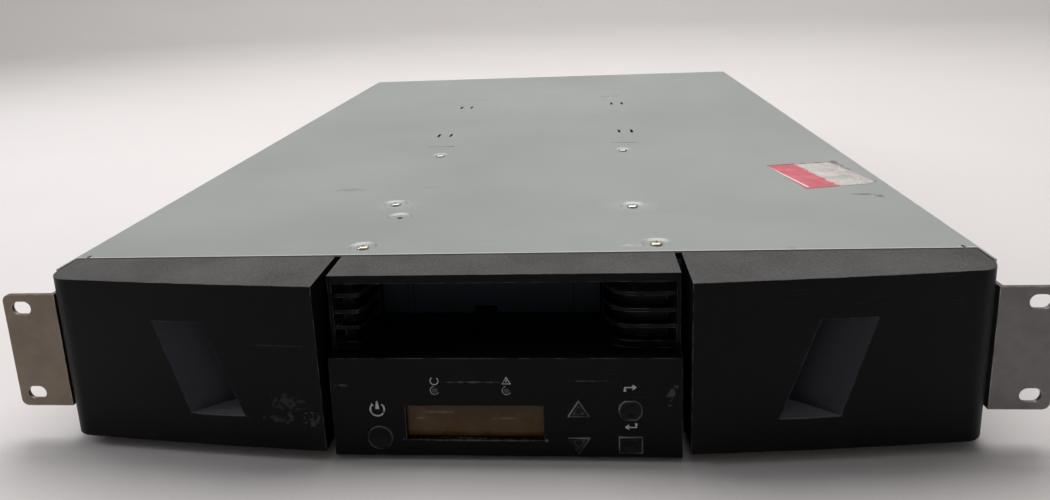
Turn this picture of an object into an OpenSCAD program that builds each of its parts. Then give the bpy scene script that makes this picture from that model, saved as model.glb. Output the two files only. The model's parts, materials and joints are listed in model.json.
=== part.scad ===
// Data tape library, two rack units high. Two drawer magazines carry tape cartridges
// round a belt loop, a turning picker between them passes cartridges to the tape drive
// in the rear and to the mail slot in the front.
// X runs across the rack, Y from the front to the back and Z is up.

/* [Chassis] */
// Width over the side walls
body_w = 430; // [428:0.5:434]
// Length behind the front edge of the top cover
body_l = 650; // [645:5:680]
// Height from the underside to the top of the cover
body_h = 86; // [86:0.5:88]
// Thickness of the chassis sheet
sheet_t = 1; // [0.8:0.1:1.1]
// Thickness of the top cover
cover_t = 1; // [0.8:0.1:1.2]
// Depth of the cover's folded side lips
cover_lip = 12; // [9:1:16]
// Reach of the side walls in front of the cover
flange_l = 15.4; // [13:0.2:17]
// Distance of each bay wall from the middle of the chassis
bay_x = 76; // [76:0.2:77]
// Depth of the pressed dimples that seat the cover on the bay walls
dimple_d = 0.8; // [0.6:0.1:0.9]

/* [Rack ears] */
// Overall width over the two ears
ear_span = 482.6; // [480:0.1:485]
// Distance between the slots of the left and right ear
slot_span_x = 465.1; // [464:0.1:466]
// Distance between the two slots of one ear
slot_span_z = 44.45; // [40:0.05:46]
// Length of each slot
slot_l = 9.5; // [9:0.1:10]
// Height of each slot
slot_h = 6.8; // [6.4:0.1:7.2]
// Height of the ear plates
ear_h = 58.4; // [56:0.2:62]
// Thickness of the ear plates
ear_t = 2; // [1.6:0.1:2.4]
// Height of the middle of the ears
ear_z = 46; // [44:0.5:48]
// How far the ear faces stand in front of the cover
ear_set = 20.5; // [20:0.1:22]
// Length of the ear leaves along the side walls
ear_leaf = 75; // [60:5:100]

/* [Drawer fronts] */
// Distance of the inner ends from the middle
bezel_in = 82.1; // [81:0.1:84]
// How far the inner ends stand in front of the cover
bezel_d = 40.4; // [38:0.2:42]
// How far the outer ends sit back from the inner ends
bezel_sweep = 11.7; // [10:0.1:13]
// Bulge of the swept front
bezel_bow = 0.75; // [0.2:0.05:1.2]
// Radius of the outer corners
bezel_r = 11; // [8:0.5:13]
// Height of the underside
bezel_z = 5.5; // [4.5:0.1:6.5]
// Wall thickness of the mouldings
bezel_t = 2.5; // [2:0.1:3]

/* [Finger grips] */
// Height of the floor of the grips
grip_z = 21.6; // [18:0.2:24]
// Height of the grips
grip_h = 45.6; // [40:0.2:48]
// Width of the grips at the face
grip_w = 28.5; // [26:0.5:31]
// Distance of the lower inner corner from the middle
grip_in = 119.8; // [117:0.2:124]
// Sideways lean of the grips over their height
grip_lean = 15.4; // [12:0.2:18]
// Depth of the grips
grip_d = 16.5; // [14:0.5:18]

/* [Centre front] */
// Width of the centre moulding
centre_w = 157.6; // [156:0.2:158]
// Height of its underside
centre_z = 2.5; // [2:0.1:3]
// How far the roof lip stands in front of the cover
lip_set = 27.8; // [26:0.2:30]
// Thickness of the roof lip
lip_t = 4; // [3:0.2:4]
// Height of the ledge above the control face
ledge_z = 50; // [49.6:0.2:50]
// How far the ledge stands in front of the cover
ledge_set = 36.5; // [36.5:0.1:37.2]
// How far the foot of the control face stands in front of the cover
foot_set = 38.1; // [37.8:0.1:38.4]
// Wall thickness of the control face
face_t = 2.5; // [2.2:0.1:2.6]

/* [Mail slot] */
// Sideways offset of the cartridge lane from the turning centre
lane_dx = 8.5; // [8:0.1:9]
// Width of the lane
lane_w = 108; // [107.6:0.1:108.4]
// Number of ribs on each cheek
rib_n = 4; // [2:1:4]
// Distance between ribs
rib_pitch = 7.7; // [7:0.1:7.7]
// Thickness of a rib
rib_t = 1.7; // [1.2:0.1:2.4]
// Depth of the grooves between ribs
rib_d = 5; // [3:0.5:6]
// Thickness of the door
door_t = 1.5; // [1.2:0.1:2]

/* [Controls] */
// Width of the display window
lcd_w = 62.6; // [58:0.2:64]
// Height of the display window
lcd_h = 16.5; // [15:0.5:18]
// Radius of the power button
power_r = 5.6; // [5:0.1:6]
// Width of the arrow buttons
arrow_w = 9.7; // [9:0.1:10]
// Height of the arrow buttons
arrow_h = 7.8; // [7:0.1:8]
// Width of the escape and enter buttons
key_w = 10.2; // [9:0.1:11]
// Clearance round each button
key_gap = 0.25; // [0.15:0.05:0.3]
// Travel of the buttons
key_travel = 0.8; // [0.4:0.1:0.9]

/* [Magazines] */
// Length of a cartridge, across the chassis
cart_l = 102; // [101:0.1:102.4]
// Width of a cartridge
cart_w = 105.4; // [105:0.1:106]
// Thickness of a cartridge
cart_h = 21.5; // [20:0.1:22]
// Distance between carriers along the belt
pitch = 110; // [110:0.2:112]
// Radius of the belt turns at mid thickness
belt_r = 21; // [20.5:0.1:21]
// Width of the belts
belt_w = 5; // [4:0.5:5]
// Thickness of the belts
belt_t = 1.5; // [1:0.1:1.8]
// Wall thickness of the magazine trays
mag_t = 1.5; // [1.2:0.1:1.8]
// Share of the magazines' spare height that lies under the belts
belt_low = 0.375; // [0.34:0.005:0.4]
// Height of the slide rails
rail_h = 2; // [1.8:0.1:2.2]

/* [Picker] */
// Distance of the turning centre, and of the foremost carriers, behind the cover's edge
picker_y = 110; // [107:1:115]
// Number of teeth of the turntable gear
table_teeth = 72; // [60:12:72]
// Number of teeth of its pinion
pinion_teeth = 18; // [16:2:20]
// Radius of the deck
deck_r = 74; // [70:0.5:74]
// Thickness of the deck
deck_t = 3; // [2.5:0.1:3.2]
// Radius of the turning post
post_r = 6; // [5:0.5:8]
// Radius of the guide rods
guide_r = 2; // [1.5:0.1:2.5]

/* [Drive and supplies] */
// Width of the tape drive
drive_w = 146; // [142:0.5:146.5]
// Length of the tape drive
drive_l = 213; // [200:1:230]
// Room between the tape drive and the flanges of the bay walls
drive_gap = 2.2; // [1.5:0.1:3]
// Width of the power supply
psu_w = 122; // [118:1:124]
// Length of the power supply
psu_l = 93; // [88:1:96]
// Room between the power supply and the cover
psu_gap = 6; // [5:0.5:12]
// Size of the fan in the drive sled
fan_w = 60; // [50:1:60]
// Reach of the sled handle behind the chassis
handle_l = 10; // [8:0.5:14]

/* [Hidden] */
$fn = 64;
hw = body_w / 2;
in_w = hw - sheet_t;
cover_z = body_h - cover_t;
lip_z = body_h - cover_lip;
joggle_x = hw - cover_t;
joggle_in = joggle_x - sheet_t;
cover_gap = 0.3;
front_y = -(body_l + handle_l - bezel_d) / 2;
// Reach of a cartridge's corner as it turns on the picker
turn_r = sqrt(pow(cart_w / 2 + lane_dx, 2) + pow(cart_l / 2, 2));
shell_gap = 0.8;
fit = 0.05;
psu_y0 = body_l - sheet_t - psu_l;

// Pressed dimples of the cover, [x, y, has a screw], and its paired slots
dimples = [[-72, 12, 1], [72, 12, 1], [-72, 88, 1], [-64, 62, 0], [65, 76, 1],
           [-66, 215, 1], [68, 220, 1]];
dimple_r = 7.5;
bay_top = cover_z - dimple_d;
bay_flange = 20;
bay_y0 = 2.4;
slot_pairs = [290, 430];
screw_r = 1.4;
head_r = 3;
head_t = 1.3;
cover_screw_end = 40;
cover_screws_y = [cover_screw_end, body_l / 2 + 5, body_l - cover_screw_end];

// Drawer fronts
bezel_x1 = in_w - 1;
bezel_run = bezel_x1 - bezel_r - bezel_in;
bezel_steps = 10;
grip_turn = atan(grip_lean / grip_h);
grip_wall = 1.8;

// Centre moulding and mail slot
cw = centre_w / 2;
centre_floor_t = 1.2;
side_t = 1.8;
lip_z0 = body_h - lip_t;
lane_x = -lane_dx;
open_x0 = lane_x - lane_w / 2;
open_x1 = lane_x + lane_w / 2;
scoop_back = 2.2;
cheek_set = lip_set - 1.5;
rib_z = ledge_z + 3.5;
chute_t = 1.2;
chute_y1 = picker_y - turn_r - 0.8;
chute_z1 = bay_top - 2 * sheet_t - chute_t + 0.8;
door_y = 4.5;
door_pivot_z = chute_z1 - 2.7;
door_pin_r = 1.2;
door_barrel_r = 2.3;
door_z0 = ledge_z + 4;

// Controls, [x, z] on the control face
lcd_at = [-13.7, 18.8];
power_at = [-57.3, 11.4];
up_at = [33.1, 26];
down_at = [33.1, 8];
escape_at = [56, 25.2];
enter_at = [56, 8.6];
escape_h = 9.1;
enter_h = 7.8;
led_at = [[-31, 34.6], [1.4, 34.6]];
led_r = 1.3;
key_proud = 0.4;
key_flange = 1.2;
key_rim_t = 1.2;
board_y = -24;
board_t = 1.6;
front_board_w = 144;
front_board_z0 = 6;
front_board_h = 40;
header_l = 32;
header_h = 8;
driver_chip = 20;
clock_chip = 12;
switch_w = 6;
switch_t = 2.2;
post_x = 68;
post_z = [12, 42];
front_post_r = 2.6;
stem_r = 1.9;
stem_y = board_y - switch_t - key_travel - 0.2;

// Front surface of the control face at a height, and the panes behind it
function face_y(z) = -(foot_set + (ledge_set - foot_set) * (z - centre_z) / (ledge_z - centre_z));
pane_t = 1.2;
pane_y = face_y(lcd_at[1] + lcd_h / 2 + 2) + face_t + 0.1;
lcd_y = pane_y + pane_t + 0.2;
lcd_t = 7;

// Magazines
mag_x0 = cw + 0.6;
mag_x1 = joggle_in - 1.5;
mag_z0 = sheet_t + rail_h + 0.2;
mag_top = cover_z - 3;
rail_w = 8;
bay_foot = 10;
carrier_t = 1.2;
carrier_wall = 1.5;
carrier_play = 0.3;
carrier_w = cart_w + 2 * (carrier_play + carrier_wall);
carrier_drop = belt_t / 2 + 2;
mag_end = carrier_w / 2 + 3;
motor_room = 10;
// As many carriers stand in a row as fit in front of the power supply
row_n = floor((psu_y0 - motor_room - mag_end - belt_r * (1 - PI / 2) + pitch / 2 - picker_y) / pitch);
carrier_n = 2 * row_n;
mag_y = picker_y + (row_n - 1) / 2 * pitch;
belt_turn_span = (carrier_n * pitch - 2 * PI * belt_r) / 2;
axle_front = mag_y - belt_turn_span / 2;
axle_rear = mag_y + belt_turn_span / 2;
// The spare height between the floor and the cover is shared out, to a tenth of a millimetre
belt_stack = 2 * belt_r + carrier_drop + carrier_t + cart_h;
belt_room = cover_z - mag_z0 - mag_t - belt_stack;
axle_z = round(10 * (mag_z0 + mag_t + belt_r + belt_low * belt_room)) / 10;
carrier_x0 = mag_x0 + mag_t + 1;
cart_x0 = carrier_x0 + 1.5;
carrier_x1 = cart_x0 + cart_l + carrier_wall;
carrier_wall_h = 13;
tab_w = 6;
belt_x = carrier_x1 + 1.3;
mag_y0 = -shell_gap;
mag_y1 = axle_rear + belt_r + mag_end;
window_w = cart_w + 4;
window_z0 = axle_z + belt_r + 2;
window_h = cart_h + 5;
axle_r = 3;
boss_r = 5;
pulley_r = belt_r - belt_t / 2 - 0.3;
gear_m = 0.8;
mag_teeth = 32;
drive_teeth = 16;
gear_x = belt_x + belt_w + 0.7;
gear_t = 4;
gear_play = 0.15;
pinion_y = axle_rear + (mag_teeth + drive_teeth) * gear_m / 2 + gear_play;
motor_x = gear_x + gear_t + 0.8;
motor_t = 7.5;
motor_r = 11;
arm_t = 1.5;
arm_h = 18;
foot_y = mag_y1 + 6;

// Picker
deck_z = axle_z + belt_r + carrier_drop + carrier_t;
table_m = 1;
base_t = 2;
base_half = 68;
base_top = sheet_t + base_t;
pinion_z = base_top + 9;
table_gear_t = 6;
picker_motor_r = 17;
pinion_d = (table_teeth + pinion_teeth) * table_m / 2 + gear_play;
pinion_at = [-pinion_d * cos(45), picker_y - pinion_d * sin(45)];
hub_r = 12;
frame_z = deck_z - deck_t - 14.5;
frame_t = 2;
frame_half = 22.5;
lug_y = 60;
lug_t = 4;
rod_z = frame_z + 8;
rod_dx = 16;
screw_rod_r = 2;
shoe_l = 16;
shoe_h = 10;
shoe_y = -lug_y + 0.5;
neck_w = 12;
neck_l = 8;
jaw_h = 15;
guide_t = 1.5;

// Tape drive, its sled and what stands beside them
sled_y0 = picker_y + deck_r + 4;
drive_wall = 1.5;
sled_w = bay_x - 1;
sled_wall_h = 50;
sled_plate = bay_x + 10;
drive_z0 = 2 * sheet_t;
drive_h = bay_top - drive_gap - drive_z0;
psu_h = cover_z - psu_gap;
drive_y0 = picker_y + turn_r + 2.4;
drive_mouth = [cart_w + 1.2, cart_h + 1.2, 108];
thumb_r = 4.5;
thumb_l = 7;
thumb_cap = 1.4;
thumb_z = [14, 70];
sled_fan_x = 34;
sled_fan_z = 43;
fan_l = 25;
psu_x = bay_x + 8;
psu_fan_r = 24;
psu_fan_x = -(psu_x + 34);
psu_fan_z = 42;
inlet_x = -(psu_x + psu_w - 24);
inlet_z = 26;
rocker_z = 56;
inlet_w = 27;
inlet_h = 20;
rocker_w = 19;
rocker_h = 13;
board_x0 = bay_x + 14;
board_x1 = joggle_in - 8;
board_z = 12;
board_pillar_r = 3;
serial_port = [31, 12.5];
network_port = [16, 13.5];
service_port = [14, 8];
port_l = 19;
port_wall = 1.4;
sink_w = 30;
sink_fin_t = 1.6;
sink_fin_n = 7;
sink_fin_h = 10;
memory_chip = [22, 10];

// ---- shared shapes ----
module place() { translate([0, front_y, 0]) children(); }
module block(lo, hi) { translate(lo) cube(hi - lo); }
module side(s) {
    if (s < 0) mirror([1, 0, 0]) children();
    else children();
}
// Extrude an outline drawn in Y and Z along X
module along_x(x0, l) {
    translate([x0, 0, 0]) rotate([90, 0, 90]) linear_extrude(l) children();
}
// Extrude an outline drawn in X and Z along Y
module along_y(y0, l) {
    translate([0, y0 + l, 0]) rotate([90, 0, 0]) linear_extrude(l) children();
}
module rod_x(x0, l, y, z, r) { translate([x0, y, z]) rotate([0, 90, 0]) cylinder(r = r, h = l); }
module rod_y(y0, l, x, z, r) { translate([x, y0, z]) rotate([-90, 0, 0]) cylinder(r = r, h = l); }
module rod_z(z0, l, x, y, r) { translate([x, y, z0]) cylinder(r = r, h = l); }
module obround(l, h) {
    square([l - h, h], center = true);
    for (s = [-1, 1]) translate([s * (l - h) / 2, 0]) circle(r = h / 2);
}

// Involute gear outline, with the tips cut short and the roots deep enough to run clear
function involute(a) = tan(a) * 180 / PI - a;
function tooth_half(r, n, m) =
    let (rb = n * m / 2 * cos(20))
    90 / n - 1.2 / n + involute(20) - involute(acos(min(1, rb / max(r, rb))));
function gear_points(n, m) =
    let (rp = n * m / 2, radii = [rp - 1.05 * m, rp, rp + 0.8 * m])
    [for (i = [0:n - 1], s = [-1, 1], k = [0:2])
        let (r = radii[s < 0 ? k : 2 - k], a = i * 360 / n + s * tooth_half(r, n, m))
        [r * cos(a), r * sin(a)]];
module gear(n, m) { polygon(gear_points(n, m)); }

// Fan rotor on the Y axis: a hub with swept blades
module fan_blades(r, hub, l, n) {
    rod_y(0, l, 0, 0, hub);
    for (i = [0:n - 1]) rotate([0, i * 360 / n, 0])
        translate([0, l / 2, 0]) rotate([0, 0, 38])
            block([-(l - 1) / 2, -0.6, hub - 0.5], [(l - 1) / 2, 0.6, r]);
}

// ---- chassis ----
module side_wall() {
    block([in_w, -flange_l, 0], [hw, body_l, lip_z]);
    block([in_w, -flange_l, lip_z - sheet_t], [hw, -cover_gap, body_h]);
    block([joggle_in, 0, lip_z - sheet_t], [hw, body_l, lip_z]);
    block([joggle_in, 0, lip_z - sheet_t], [joggle_x, body_l, cover_z]);
    block([joggle_in - 9, 0, cover_z - sheet_t], [joggle_x, body_l - sheet_t, cover_z]);
}
module ear_screw_places() {
    for (y = [0.15, 0.5, 0.85], z = [-1, 1])
        translate([0, ear_leaf * y - ear_set + 8, ear_z + z * ear_h / 3]) children();
}
module chassis_tray() {
    color("silver") place() difference() {
        union() {
            block([-hw, -flange_l, 0], [hw, body_l, sheet_t]);
            for (s = [-1, 1]) side(s) side_wall();
        }
        for (s = [-1, 1]) side(s) {
            ear_screw_places() rod_x(in_w - 1, sheet_t + 2, 0, 0, screw_r + fit);
            for (y = cover_screws_y)
                rod_x(joggle_in - 1, sheet_t + 2, y, cover_z - cover_lip / 2, screw_r + fit);
            // vent slots low in the side walls beside the supplies
            for (i = [0:7]) translate([0, body_l - 82 + i * 9, 40])
                along_x(in_w - 1, sheet_t + 2) rotate(90) obround(26, 3);
        }
    }
}
module rear_panel() {
    panel_y = body_l - sheet_t;
    color("silver") place() difference() {
        union() {
            block([-in_w, panel_y, sheet_t], [in_w, body_l, lip_z - sheet_t]);
            block([-joggle_in, panel_y, sheet_t], [joggle_in, body_l, cover_z]);
        }
        // opening behind the sled
        block([-sled_w - 0.4, panel_y - 1, 0], [sled_w + 0.4, body_l + 1, bay_top - 1.5]);
        // opening behind the power supply
        block([-(psu_x + psu_w - 3), panel_y - 1, 6],
              [-(psu_x + 5), body_l + 1, psu_h - 4]);
        connector_places(0.4);
        // vents above the controller ports
        for (i = [0:10], k = [0:2])
            translate([board_x0 + 8 + i * 9.6, 0, 44 + k * 12])
                along_y(panel_y - 1, sheet_t + 2) rotate(90) obround(9, 4);
    }
}
module top_cover() {
    color("darkgray") place() difference() {
        union() {
            block([-hw, 0, cover_z], [hw, body_l, body_h]);
            for (s = [-1, 1]) side(s)
                block([joggle_x, 0, lip_z + cover_gap], [hw, body_l, cover_z]);
            for (d = dimples) translate([d[0], d[1], bay_top])
                cylinder(r1 = dimple_r - 2.5, r2 = dimple_r - 1, h = dimple_d);
        }
        for (d = dimples) {
            translate([d[0], d[1], body_h - dimple_d])
                cylinder(r1 = dimple_r - 1.8, r2 = dimple_r, h = dimple_d + 0.01);
            rod_z(bay_top - 1, 5, d[0], d[1], screw_r + 0.2);
        }
        for (s = [-1, 1], y = slot_pairs, dx = [-5, 5])
            translate([s * 74 + dx, y, cover_z - 1]) linear_extrude(cover_t + 2)
                rotate(90) obround(13, 2.2);
        // creases over the hooks of the bay walls
        for (s = [-1, 1], y = [245, 477])
            block([s * 70 - 10, y, body_h - 0.3], [s * 70 + 10, y + 1.2, body_h + 1]);
        // relief cuts at the front corners and at the rear edge
        for (s = [-1, 1]) side(s)
            block([hw - 7, -1, cover_z - 1], [hw - 5.5, 3.5, body_h + 1]);
        block([145.5, body_l - 3, cover_z - 1], [149.5, body_l + 1, body_h + 1]);
        for (s = [-1, 1], y = cover_screws_y) side(s)
            rod_x(joggle_x - 1, cover_t + 2, y, cover_z - cover_lip / 2, screw_r + fit);
    }
}
module case_screws() {
    color("gainsboro") place() {
        for (d = dimples) if (d[2] > 0) {
            rod_z(body_h - dimple_d, head_t, d[0], d[1], head_r);
            rod_z(bay_top - 1.8, body_h - dimple_d - bay_top + 1.8, d[0], d[1], screw_r);
        }
        for (s = [-1, 1]) side(s) {
            for (y = cover_screws_y) {
                rod_x(hw, 1, y, cover_z - cover_lip / 2, head_r - 0.4);
                rod_x(joggle_in - 0.5, hw + 0.5 - joggle_in, y, cover_z - cover_lip / 2, screw_r);
            }
            ear_screw_places() {
                rod_x(hw + ear_t, 1.6, 0, 0, head_r);
                rod_x(in_w - 0.8, ear_t + sheet_t + 0.8, 0, 0, screw_r);
            }
        }
    }
}
module rack_ear(s) {
    color("rosybrown") place() side(s) difference() {
        union() {
            block([hw, -ear_set, ear_z - ear_h / 2],
                  [hw + ear_t, -ear_set + ear_leaf, ear_z + ear_h / 2]);
            along_y(-ear_set, ear_t) difference() {
                translate([hw, ear_z - ear_h / 2]) square([ear_span / 2 - hw, ear_h]);
                for (k = [-1, 1]) translate([ear_span / 2, ear_z + k * ear_h / 2])
                    corner_cut(3.5, k);
            }
        }
        for (k = [-1, 1])
            translate([slot_span_x / 2, 0, ear_z + k * slot_span_z / 2])
                along_y(-ear_set - 1, ear_t + 2) obround(slot_l, slot_h);
        ear_screw_places() rod_x(hw - 1, ear_t + 2, 0, 0, screw_r + fit);
    }
}
// What a rounded corner takes off: a square less a quarter circle
module corner_cut(r, k) {
    difference() {
        translate([-r, k > 0 ? -r : -1]) square([r + 1, r + 1]);
        translate([-r, -k * r]) circle(r = r);
    }
}
module left_rack_ear() { rack_ear(-1); }
module right_rack_ear() { rack_ear(1); }
module bay_wall(s) {
    color("silver") place() side(s) difference() {
        union() {
            block([bay_x, bay_y0, sheet_t], [bay_x + sheet_t, body_l - sheet_t, bay_top]);
            block([bay_x, bay_y0, sheet_t], [bay_x + bay_foot, body_l - psu_l - 4, 2 * sheet_t]);
            block([bay_x + sheet_t - bay_flange, bay_y0 + 1.5, bay_top - sheet_t],
                  [bay_x, body_l - sheet_t, bay_top]);
        }
        // window where the picker reaches into the magazine
        block([bay_x - 1, picker_y - window_w / 2 - lane_dx, window_z0 - 1.5],
              [bay_x + sheet_t + 1, picker_y + window_w / 2 + lane_dx, window_z0 + window_h + 1.5]);
        for (d = dimples) if (d[0] * s > 0)
            rod_z(bay_top - sheet_t - 1, sheet_t + 2, abs(d[0]), d[1], screw_r + fit);
        // lightening holes beside the drive
        for (i = [0:3]) translate([0, sled_y0 + 60 + i * 70, 44])
            along_x(bay_x - 1, sheet_t + 2) obround(46, 26);
    }
}
module left_bay_wall() { bay_wall(-1); }
module right_bay_wall() { bay_wall(1); }
module magazine_rails() {
    color("ivory") place() for (s = [-1, 1]) side(s)
        for (x = [bay_x + bay_foot + 2, mag_x1 - 4 - rail_w])
            block([x, 4, sheet_t], [x + rail_w, mag_y1 + 2, sheet_t + rail_h]);
}

// ---- drawer fronts ----
// Plan of a drawer front, shrunk on every side but the back by a wall
function sweep_y(t) = -bezel_d + bezel_sweep * t - 4 * bezel_bow * t * (1 - t);
function bezel_plan(wall, back) = concat(
    [[bezel_in + wall, back]],
    [for (i = [0:bezel_steps]) let (t = i / bezel_steps)
        [max(bezel_in + wall, bezel_in + bezel_run * t), sweep_y(t) + wall]],
    [for (i = [1:6]) let (a = 15 * i, r = bezel_r - wall)
        [bezel_x1 - bezel_r + r * sin(a), sweep_y(1) + bezel_r - r * cos(a)]],
    [[bezel_x1 - wall, back]]);
// Section of the scooped grip, across its lean: outer edge, ramp, deepest point, inner edge
function grip_section(wall) =
    let (w = grip_w * cos(grip_turn), deep = 0.74 * w, face = sweep_y(0.35))
    concat(
        [[wall, face - 12], [wall, face + 1.2]],
        [for (i = [0:8]) let (t = i / 8)
            [-deep * t + wall * (1 - t),
             face + 1.2 + (grip_d - 1.2) * (0.72 * t + 0.28 * sin(90 * t)) + wall * t]],
        [[-deep - wall, face + grip_d + wall - 2], [-w - wall, face - 1], [-w - wall, face - 12]]);
module grip_prism(wall) {
    intersection() {
        block([bezel_in, -bezel_d - 6, grip_z - wall], [bezel_x1, 0, grip_z + grip_h + wall]);
        translate([grip_in + grip_w, 0, grip_z]) rotate([0, grip_turn, 0])
            translate([0, 0, -12]) linear_extrude(grip_h + 30) polygon(grip_section(wall));
    }
}
module bezel_shell() {
    difference() {
        translate([0, 0, bezel_z]) linear_extrude(body_h - bezel_z)
            polygon(bezel_plan(0, -shell_gap));
        translate([0, 0, bezel_z + bezel_t]) linear_extrude(body_h - bezel_z - 2 * bezel_t)
            polygon(bezel_plan(bezel_t, 1));
    }
}
module magazine_bezel(s) {
    color("#232325") place() side(s) difference() {
        union() {
            bezel_shell();
            intersection() {
                grip_prism(grip_wall);
                translate([0, 0, bezel_z]) linear_extrude(body_h - bezel_z)
                    polygon(bezel_plan(0, -shell_gap));
            }
            // posts that the tray is screwed to
            intersection() {
                for (x = [bezel_in + 12, bezel_x1 - 16], z = [18, 70])
                    rod_y(-bezel_d, bezel_d - shell_gap, x, z, 3.5);
                translate([0, 0, bezel_z]) linear_extrude(body_h - bezel_z)
                    polygon(bezel_plan(1, -shell_gap));
            }
        }
        grip_prism(0);
    }
}
module left_magazine_bezel() { magazine_bezel(-1); }
module right_magazine_bezel() { magazine_bezel(1); }

// ---- centre moulding ----
// Plan of a cheek of the mail slot: flat at the front, swept back to the opening
function cheek_plan(x_side, x_flat, x_open, deep, inset) =
    let (d = sign(x_side - x_open), y0 = -cheek_set + inset)
    concat(
        [[x_side, -lip_set], [x_side - d * 1.6, -lip_set],
         [x_side - d * (2 + inset * 0.6), y0]],
        [for (i = [0:6]) let (a = 15 * i)
            [x_flat + d * inset * 0.7 + (x_open - x_flat) * sin(a) , y0 + deep * (1 - cos(a))]],
        [[x_open + d * inset * 0.7, scoop_back], [x_side, scoop_back]]);
module cheek(x_side, x_flat, x_open, deep) {
    translate([0, 0, ledge_z]) linear_extrude(rib_z - ledge_z)
        polygon(cheek_plan(x_side, x_flat, x_open, deep, 0));
    translate([0, 0, rib_z]) linear_extrude(lip_z0 - rib_z)
        polygon(cheek_plan(x_side, x_flat, x_open, deep, rib_d));
    for (i = [1:rib_n - 1]) translate([0, 0, rib_z + i * rib_pitch - rib_t])
        linear_extrude(rib_t) polygon(cheek_plan(x_side, x_flat, x_open, deep, 0));
}
module key_holes(gap) {
    translate(power_at) circle(r = power_r + gap);
    translate(up_at) triangle(1, gap);
    translate(down_at) triangle(-1, gap);
    translate(escape_at) barrel(gap);
    translate(enter_at) square([key_w + 2 * gap, enter_h + 2 * gap], center = true);
}
// Arrow key outline, pointing up or down, grown by a gap
module triangle(up, gap) {
    g = gap * 2;
    polygon([[-arrow_w / 2 - g, -up * (arrow_h / 2 + gap)],
             [arrow_w / 2 + g, -up * (arrow_h / 2 + gap)],
             [0, up * (arrow_h / 2 + g)]]);
}
// Round key with straight top and bottom
module barrel(gap) {
    intersection() {
        circle(r = key_w / 2 + gap);
        square([key_w + 2 * gap, escape_h + 2 * gap], center = true);
    }
}
module centre_bezel() {
    color("#1c1c1e") place() difference() {
        union() {
            // roof and its lip
            block([-cw, -lip_set, lip_z0], [cw, -shell_gap, body_h]);
            // side walls follow the stepped front
            for (s = [-1, 1]) side(s) along_x(cw - side_t, side_t)
                polygon([[-shell_gap, centre_z], [-foot_set, centre_z], [-ledge_set, ledge_z],
                         [-lip_set, ledge_z], [-lip_set, body_h], [-shell_gap, body_h]]);
            // control face, ledge and floor
            along_x(-cw, centre_w) polygon([[-foot_set, centre_z], [-ledge_set, ledge_z],
                [-ledge_set + face_t, ledge_z], [-foot_set + face_t, centre_z]]);
            block([-cw, -ledge_set, ledge_z - face_t], [cw, scoop_back, ledge_z]);
            block([-cw, -foot_set + 1, centre_z], [cw, -shell_gap, centre_z + centre_floor_t]);
            cheek(-cw, open_x0 - 4, open_x0, 20);
            cheek(cw, open_x1 + 12, open_x1, 14);
            // tabs that hook into the bay walls
            for (s = [-1, 1]) side(s) {
                block([bay_x - 1.6, -6, 12], [bay_x, bay_y0 + 12, 40]);
                block([bay_x - 1.6, -6, 12], [cw, -4, 40]);
            }
            // posts that carry the front board
            for (x = [-post_x, post_x], z = post_z)
                rod_y(-foot_set + 2, foot_set - 2 + board_y, x, z, front_post_r);
        }
        // clear of the magazines behind the front edge of the cover
        for (s = [-1, 1]) side(s)
            block([bay_x + sheet_t - 0.2, -shell_gap, 0], [cw + 1, scoop_back + 1, body_h]);
        translate([lcd_at[0], 0, lcd_at[1]])
            along_y(-foot_set - 1, face_t + 3) square([lcd_w, lcd_h], center = true);
        along_y(-foot_set - 1, face_t + 3) key_holes(key_gap);
        for (p = led_at) rod_y(-foot_set - 1, face_t + 3, p[0], p[1], led_r + fit);
    }
}
module mail_slot_chute() {
    color("dimgray") place() difference() {
        union() {
            block([open_x0 - chute_t, bay_y0, ledge_z - chute_t],
                  [open_x1 + chute_t, chute_y1, chute_z1 + chute_t]);
            block([-bay_x, bay_y0, ledge_z - chute_t], [bay_x, bay_y0 + 1, chute_z1 + chute_t]);
        }
        block([open_x0, 0, ledge_z], [open_x1, chute_y1 + 1, chute_z1]);
        rod_x(-bay_x, 2 * bay_x, door_y, door_pivot_z, door_pin_r + fit);
    }
}
module mail_slot_door() {
    color("#202024") place() difference() {
        union() {
            block([open_x0 + 1, door_y - door_t / 2, door_z0],
                  [open_x1 - 1, door_y + door_t / 2, door_pivot_z]);
            rod_x(open_x0 + 1, lane_w - 2, door_y, door_pivot_z, door_barrel_r);
            // ribs down the face
            for (x = [-0.36, 0.36])
                block([lane_x + lane_w * x - 1, door_y - door_t / 2 - 1.2, door_z0],
                      [lane_x + lane_w * x + 1, door_y, door_pivot_z - 4]);
        }
        rod_x(open_x0, lane_w, door_y, door_pivot_z, door_pin_r + fit);
        // notch in the lower edge
        block([lane_x - 8, 0, door_z0 - 1], [lane_x + 3, 10, door_z0 + 3.5]);
    }
}
module door_pin() {
    color("silver") place()
        rod_x(open_x0 - chute_t, lane_w + 2 * chute_t, door_y, door_pivot_z, door_pin_r);
}
module display_window() {
    color("saddlebrown", 0.6) place() translate([lcd_at[0], 0, lcd_at[1]])
        along_y(pane_y, pane_t) square([lcd_w + 4, lcd_h + 4], center = true);
}
module display_module() {
    color("darkolivegreen") place() difference() {
        union() {
            translate([lcd_at[0], 0, lcd_at[1]])
                along_y(lcd_y, lcd_t) square([lcd_w + 9, lcd_h + 7.5], center = true);
            for (x = [-1, 1], z = [-1, 1])
                rod_y(lcd_y + lcd_t, board_y - lcd_y - lcd_t, lcd_at[0] + x * (lcd_w / 2),
                      lcd_at[1] + z * (lcd_h / 2), 1.8);
        }
        translate([lcd_at[0], 0, lcd_at[1]])
            along_y(lcd_y - 1, 1.8) square([lcd_w + 1, lcd_h + 1], center = true);
    }
}
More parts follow.
